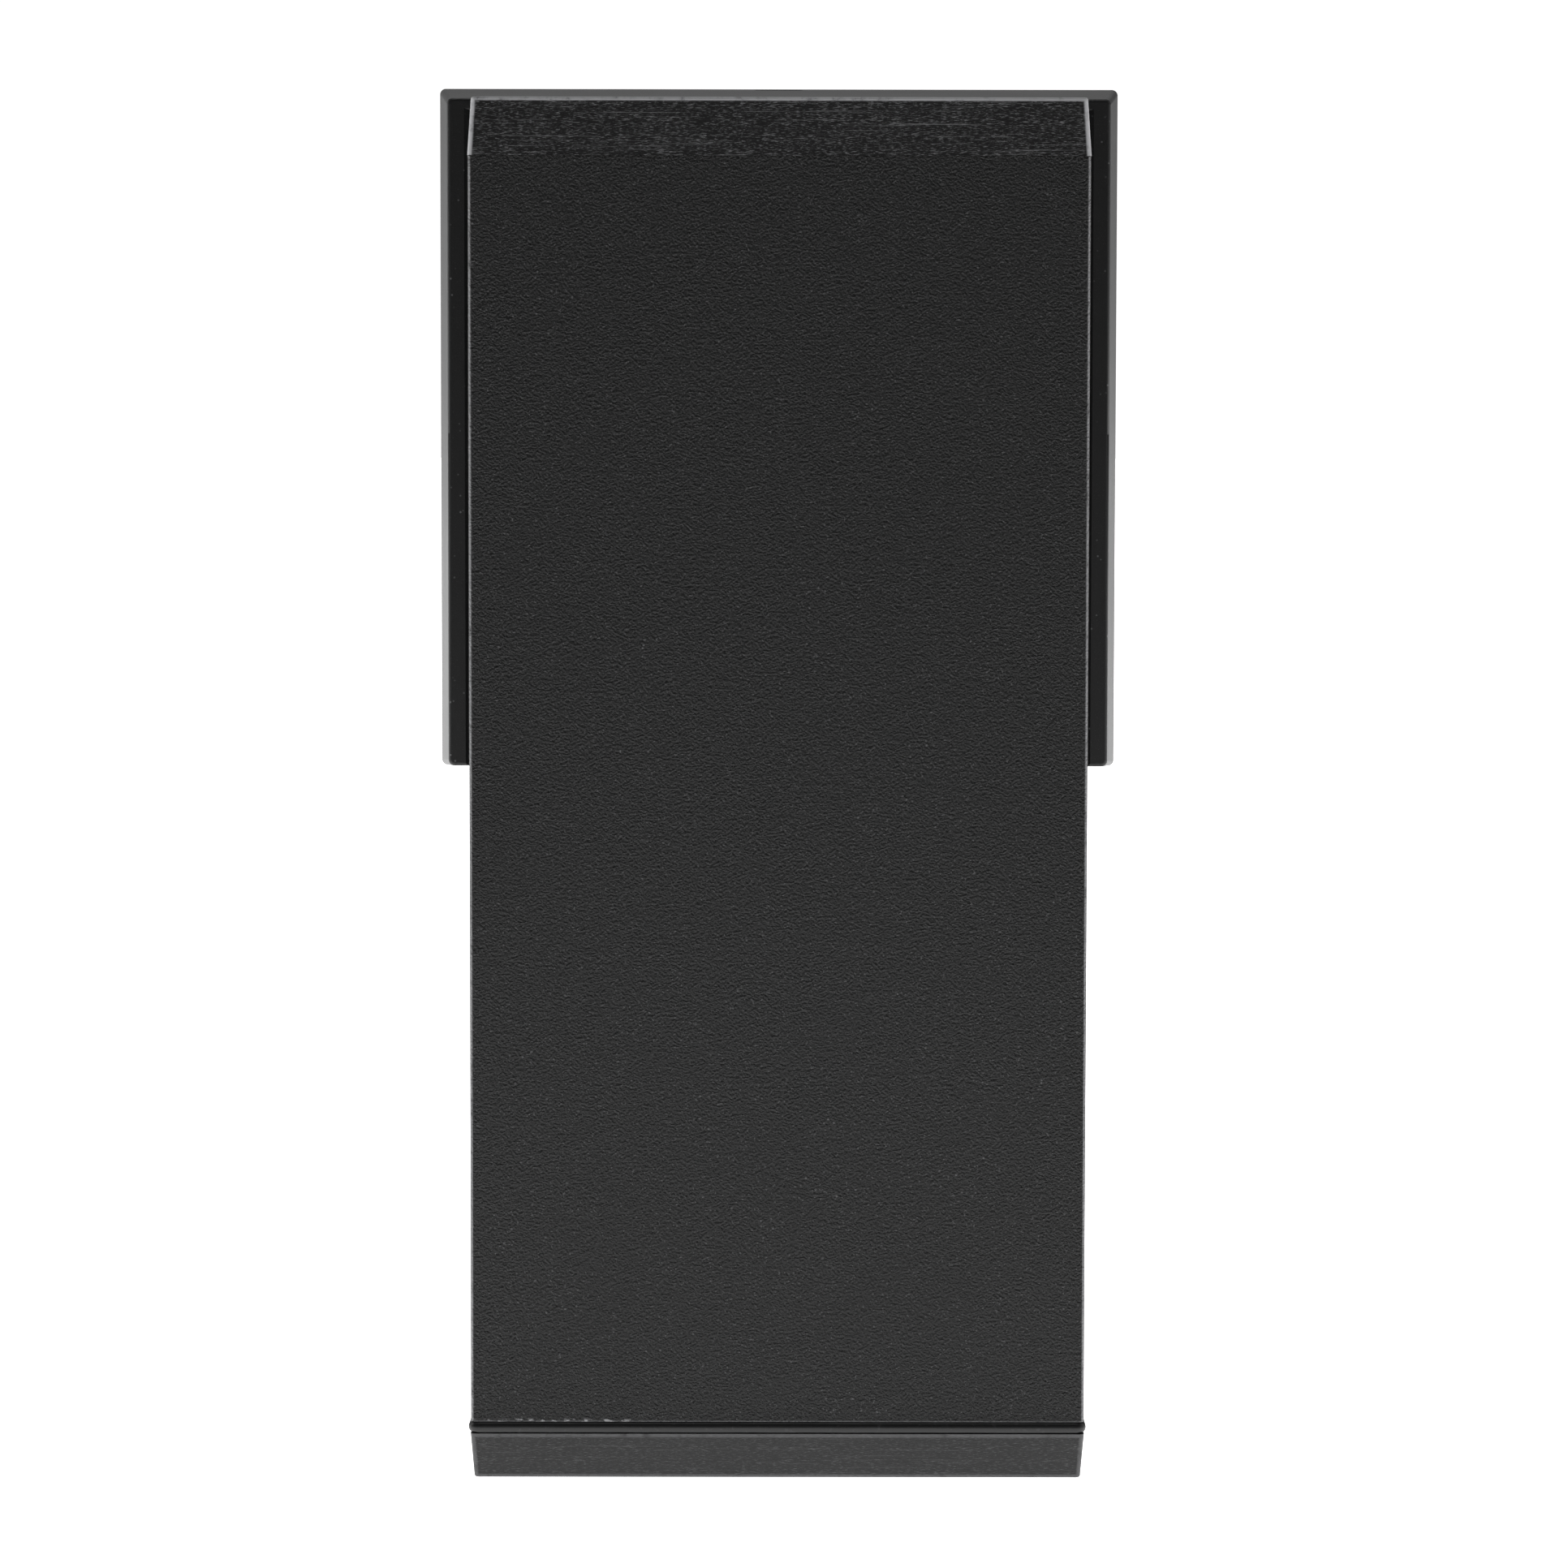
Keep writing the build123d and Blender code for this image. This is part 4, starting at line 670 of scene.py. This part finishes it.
# %% Base bead
bead_low, bead_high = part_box("base_gasket")
bead_size = bead_high - bead_low
BEAD_WIDTH = 0.0105
BEAD_ROUND = 0.00142
OUTER_BAND = 0.006
WAVY_BAND = 0.0035
FLAT_EDGE = 0.0002
bm = bmesh.new()
for shrink, corner in ((0.0, 0.0026), (2 * BEAD_WIDTH, 0.0012)):
    sheet = bmesh.ops.create_grid(bm, x_segments=1, y_segments=1, size=0.5)["verts"]
    bmesh.ops.scale(bm, verts=sheet, vec=(bead_size.x - shrink, bead_size.y - shrink, 1))
    bmesh.ops.bevel(bm, geom=sheet, offset=corner, segments=6, affect="VERTICES", profile=0.5, material=-1)
bmesh.ops.delete(bm, geom=bm.faces[:], context="FACES_ONLY")
bmesh.ops.bridge_loops(bm, edges=bm.edges[:])
bmesh.ops.translate(bm, verts=bm.verts, vec=(0, (bead_low.y + bead_high.y) / 2, bead_low.z))
grown = bmesh.ops.extrude_face_region(bm, geom=bm.faces[:])
top_verts = [item for item in grown["geom"] if isinstance(item, bmesh.types.BMVert)]
bmesh.ops.translate(bm, verts=top_verts, vec=(0, 0, bead_size.z))
bmesh.ops.recalc_face_normals(bm, faces=bm.faces)


def outermost(edge):
    """True for a level edge on the ring's outside."""
    middle = (edge.verts[0].co + edge.verts[1].co) / 2
    level = abs(edge.verts[0].co.z - edge.verts[1].co.z) < 1e-6
    half_x = bead_size.x / 2 - OUTER_BAND
    far_y = middle.y > bead_high.y - OUTER_BAND or middle.y < bead_low.y + OUTER_BAND
    loop = len({round(face.normal.z) for face in edge.link_faces}) > 1
    return level and loop and (abs(middle.x) > half_x or far_y)


round_edges = [edge for edge in bm.edges if outermost(edge)]
bmesh.ops.bevel(
    bm, geom=round_edges, offset=BEAD_ROUND, segments=5, affect="EDGES", profile=0.5, material=-1
)
long_edges = [edge for edge in bm.edges if edge.calc_length() > 0.02]
bmesh.ops.subdivide_edges(bm, edges=long_edges, cuts=46, use_grid_fill=True)
for vert in bm.verts:
    inner_x = abs(vert.co.x) <= bead_size.x / 2 - WAVY_BAND
    inner_y = bead_low.y + WAVY_BAND < vert.co.y < bead_high.y - WAVY_BAND
    on_wall = bead_low.z + FLAT_EDGE < vert.co.z < bead_high.z - FLAT_EDGE
    if on_wall and not (inner_x and inner_y):
        wave = noise.noise(Vector((vert.co.x * 90, vert.co.y * 90, 3.0)))
        ripple = noise.noise(Vector((vert.co.x * 400, vert.co.y * 400, vert.co.z * 500)))
        away = Vector((vert.co.x / bead_size.x, vert.co.y / bead_size.y, 0)).normalized()
        vert.co -= away * (0.00016 + 0.00014 * wave + 0.00005 * ripple)
piece("base_bead", bm, "black_rubber", "cabinet", "base_gasket")

# %% [markdown]
# The cone is pressed, so its side is a gentle curve with three low stiffening ribs. One outline goes down the
# front and back up behind it, and a full spin makes the closed skin.

# %% Woofer cone
cone_low, cone_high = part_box("woofer_cone")
CONE_EDGE = (cone_high.z - cone_low.z) / 2
CONE_NECK = 0.01345
CONE_SKIN = 0.0009
cone_front, cone_back = cone_low.y, cone_high.y
axis_centre = Vector((0, 0, WOOFER_AXIS.z))


def cone_depth(share):
    """How far behind its edge the cone's face is, at a share of the way in to the neck."""
    rib = sum(0.00045 * math.exp(-((share - at) / 0.022) ** 2) for at in (0.22, 0.44, 0.66))
    return (cone_back - cone_front - CONE_SKIN) * (share ** 0.88) - rib


bm = bmesh.new()
SHARES = [k / 60 for k in range(61)]
face_line = [(CONE_EDGE + (CONE_NECK - CONE_EDGE) * s, cone_front + cone_depth(s)) for s in SHARES]
rear_line = [(radius, y + CONE_SKIN) for radius, y in reversed(face_line)]
closed = face_line + rear_line + face_line[:1]
spin(bm, outline(bm, closed, axis_centre), axis_centre, 128)
piece("pressed_cone", bm, "cone_black", "woofer_moving_assembly", "woofer_cone")

# %% Dust cap: a shallow dome
cap_low, cap_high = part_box("woofer_dust_cap")
CAP_RADIUS = (cap_high.z - cap_low.z) / 2
CAP_HEIGHT = cap_high.y - cap_low.y
bm = bmesh.new()
dome = [(CAP_RADIUS * math.sin(a), cap_low.y + CAP_HEIGHT * (1 - math.cos(a))) for a in
        [math.pi / 2 * k / 24 for k in range(25)]]
inside = [(max(radius - 0.0005, 0.0), y + 0.0005) for radius, y in reversed(dome)]
inside[-1] = (0.0, dome[0][1] + 0.0005)
spin(bm, outline(bm, dome + inside, axis_centre), axis_centre, 96)
piece("dust_cap_dome", bm, "dust_cap_black", "woofer_moving_assembly", "woofer_dust_cap")

# %% [markdown]
# A surround is one rubber roll, fixed to the frame outside and to the cone inside, and the spider is a
# pleated cloth that does the same job at the coil. Each is spun as separate wedges; each wedge is capped at
# its ends and left in the scene on no body.

# %% A flexible ring, made as wedges


def flexible_ring(name, line, centre, wedges, slot, node):
    """Spins a closed section into capped wedges, each a separate piece that is left on no body."""
    width = 2 * math.pi / wedges
    for wedge in range(wedges):
        bm = bmesh.new()
        geometry = outline(bm, line + line[:1], centre)
        turn = Matrix.Rotation(wedge * width, 3, "Y")
        bmesh.ops.rotate(bm, verts=bm.verts, cent=(0, 0, centre.z), matrix=turn)
        spin(bm, geometry, centre, 6, width)
        bmesh.ops.remove_doubles(bm, verts=bm.verts, dist=1e-7)
        ends = [edge for edge in bm.edges if edge.is_boundary]
        for edge in ends:
            edge.smooth = False
        bmesh.ops.holes_fill(bm, edges=ends, sides=0)
        nodes = (node,) if wedge == 0 else ()
        part = piece(f"{name}_{wedge:02d}", bm, slot, "cabinet", *nodes)
        part.parent = None
        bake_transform(part)


def thickened(line, skin):
    """A closed section: the line, and back along it moved towards the listener by the skin."""
    return line + [(radius, y - skin) for radius, y in reversed(line)]


# %% Woofer surround: a half roll between two flat lips
roll_low, roll_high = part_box("woofer_surround")
ROLL_OUTER = (roll_high.z - roll_low.z) / 2
ROLL_SKIN = 0.0007
ROLL_RISE = roll_high.y - roll_low.y - ROLL_SKIN
ROLL_FROM, ROLL_TO, ROLL_STEPS = 0.0468, 0.0551, 20
roll = [(0.0445, roll_high.y - 0.0002), (ROLL_FROM - 0.0005, roll_high.y)]
for k in range(1, ROLL_STEPS):
    angle = math.pi * k / ROLL_STEPS
    radius = (ROLL_FROM + ROLL_TO) / 2 - (ROLL_TO - ROLL_FROM) / 2 * math.cos(angle)
    roll.append((radius, roll_high.y - ROLL_RISE * math.sin(angle) ** 0.85))
roll += [(ROLL_TO + 0.0003, roll_high.y), (ROLL_OUTER, roll_high.y)]
WEDGES = 24
flexible_ring("surround_wedge", thickened(roll, ROLL_SKIN), axis_centre, WEDGES, "black_rubber",
              "woofer_surround")

# %% Spider: pleated cloth between the coil former and the frame
spider_low, spider_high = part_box("woofer_spider")
SPIDER_OUTER = (spider_high.z - spider_low.z) / 2
SPIDER_INNER, CLOTH, PLEAT = 0.0133, 0.0005, 0.0046
pleat_depth = max((spider_high.y - spider_low.y - CLOTH) / 2, 0.0003)
pleats = []
for k in range(61):
    radius = SPIDER_INNER + (SPIDER_OUTER - SPIDER_INNER) * k / 60
    flat = min(1.0, (radius - SPIDER_INNER) / 0.002, (SPIDER_OUTER - radius) / 0.004)
    wave = math.sin(2 * math.pi * (radius - SPIDER_INNER) / PLEAT)
    pleats.append((radius, (spider_low.y + spider_high.y + CLOTH) / 2 + pleat_depth * flat * wave))
flexible_ring("spider_wedge", thickened(pleats, CLOTH), axis_centre, WEDGES, "spider_cloth",
              "woofer_spider")

# %% [markdown]
# The caps of the binding posts are fluted, so that fingers can grip them. A section is spun about the post,
# and then every third column of its wall is drawn in a little.

# %% Fluted post caps
FLUTES = 18
FLUTE_DEPTH = 0.00045


def post_cap(colour):
    """A fluted cap that turns with its own body."""
    low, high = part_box(f"{colour}_post_cap")
    centre = (low + high) / 2
    outer, bore, chamfer = (high.x - low.x) / 2, 0.0031, 0.0005
    heights = (low.z + chamfer, low.z + 3 * chamfer, high.z - 3 * chamfer, high.z - chamfer)
    section = [(bore, low.z), (outer - chamfer, low.z), *((outer, z) for z in heights)]
    section += [(outer - chamfer, high.z), (bore, high.z), (bore, low.z)]
    bm = bmesh.new()
    verts = [bm.verts.new((centre.x + radius, centre.y, z)) for radius, z in section]
    edges = [bm.edges.new(pair) for pair in zip(verts, verts[1:])]
    bmesh.ops.spin(bm, geom=verts + edges, cent=centre, axis=(0, 0, 1), angle=2 * math.pi,
                   steps=3 * FLUTES, use_merge=True)
    for vert in bm.verts:
        arm = Vector((vert.co.x - centre.x, vert.co.y - centre.y, 0))
        column = round(math.atan2(arm.y, arm.x) / (2 * math.pi) * 3 * FLUTES)
        grooved = heights[1] - 1e-6 < vert.co.z < heights[2] + 1e-6
        if arm.length > outer - 1e-5 and grooved and column % 3 == 0:
            vert.co -= arm.normalized() * FLUTE_DEPTH
    slot, body, node = f"{colour}_plastic", f"{colour}_cap", f"{colour}_post_cap"
    piece(f"{colour}_fluted_cap", bm, slot, body, node, smooth=False)


post_cap("red")
post_cap("black")

# %% [markdown]
# The crossover's two air-core coils are wound from bare-looking enamelled copper. One section with a half
# round for each turn of wire, on its outside and on its free face, is spun about the coil's own axis.

# %% Wound coils
board_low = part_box("crossover_board")[0]
COILS = [(-0.024, 0.084, 0.019, 0.008, 0.022), (0.026, 0.122, 0.014, 0.006, 0.016)]
WIRE = 0.0010


def wound_coil(bm, x, z, outer, bore, length):
    """One coil whose foot stands on the board and whose turns show as ridges."""
    foot = board_low.y - 0.0001
    ridge = WIRE / 2
    rises = [(k / 4, math.sin(math.pi * k / 4)) for k in range(1, 5)]
    section = [(bore, foot), (outer - ridge, foot)]
    turns = int((length - WIRE) / WIRE)
    for turn in range(turns):
        start = foot - turn * WIRE
        section += [(outer - ridge * (1 - rise), start - WIRE * share) for share, rise in rises]
    face = foot - turns * WIRE
    rings = int((outer - bore - WIRE) / WIRE)
    for ring in range(rings):
        start = outer - ridge - ring * WIRE
        section += [(start - WIRE * share, face - ridge * rise) for share, rise in rises]
    section += [(bore, face), (bore, foot)]
    centre = Vector((x, 0, z))
    verts = [bm.verts.new((x, y, z + radius)) for radius, y in section]
    edges = [bm.edges.new(pair) for pair in zip(verts, verts[1:])]
    spin(bm, verts + edges, centre, 48)


bm = bmesh.new()
for coil in COILS:
    wound_coil(bm, *coil)
piece("wound_coils", bm, "copper_wire", "cabinet", "crossover_inductors")

# %% [markdown]
# Acoustic foam is cut on a profiled roller, which leaves rows of soft peaks. A grid is raised by a product of
# cosines, closed at the back, and stands with its peaks into the cabinet.

# %% Foam pads
PEAK_PITCH = 0.016
FOAM_CELL = 0.0025


def foam_pad(name, centre, facing, width, height, thickness, *nodes):
    """A profiled pad whose flat back is at centre and whose peaks point along facing."""
    across = Vector((0, 0, 1)).cross(facing)
    cells_x, cells_z = int(width / FOAM_CELL), int(height / FOAM_CELL)
    bm = bmesh.new()
    bmesh.ops.create_grid(bm, x_segments=cells_x, y_segments=cells_z, size=0.5)
    bmesh.ops.scale(bm, verts=bm.verts, vec=(width, height, 1))
    for vert in bm.verts:
        peak = math.cos(2 * math.pi * vert.co.x / PEAK_PITCH) * math.cos(2 * math.pi * vert.co.y / PEAK_PITCH)
        border = min(width / 2 - abs(vert.co.x), height / 2 - abs(vert.co.y), 0.004) / 0.004
        vert.co.z = thickness * (0.62 + 0.30 * peak) - 0.0015 * (1 - border)
    rim_edges = [edge for edge in bm.edges if edge.is_boundary]
    walls = bmesh.ops.extrude_edge_only(bm, edges=rim_edges)
    foot_verts = [item for item in walls["geom"] if isinstance(item, bmesh.types.BMVert)]
    for vert in foot_verts:
        vert.co.z = 0.0
    foot_edges = [item for item in walls["geom"] if isinstance(item, bmesh.types.BMEdge) and item.is_boundary]
    bmesh.ops.contextual_create(bm, geom=foot_edges)
    turned_to = Matrix((across, Vector((0, 0, 1)), facing)).transposed()
    bmesh.ops.transform(bm, matrix=Matrix.Translation(centre) @ turned_to.to_4x4(), verts=bm.verts)
    pad = piece(name, bm, "grey_foam", "cabinet", *nodes)


back_low, back_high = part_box("back_foam_pad")
back_size, back_middle = back_high - back_low, (back_low + back_high) / 2
back_foot = Vector((back_middle.x, back_high.y, back_middle.z))
foam_pad("back_foam", back_foot, Vector((0, -1, 0)), back_size.x, back_size.z, back_size.y, "back_foam_pad")
side_low, side_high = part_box("side_foam_pads")
side_size, side_middle = side_high - side_low, (side_low + side_high) / 2
SIDE_THICKNESS = 0.0118
for side, label in ((1, "left"), (-1, "right")):
    foot = Vector((side * side_size.x / 2, side_middle.y, side_middle.z))
    inward = Vector((-side, 0, 0))
    foam_pad(f"side_foam_{label}", foot, inward, side_size.y, side_size.z, SIDE_THICKNESS, "side_foam_pads")
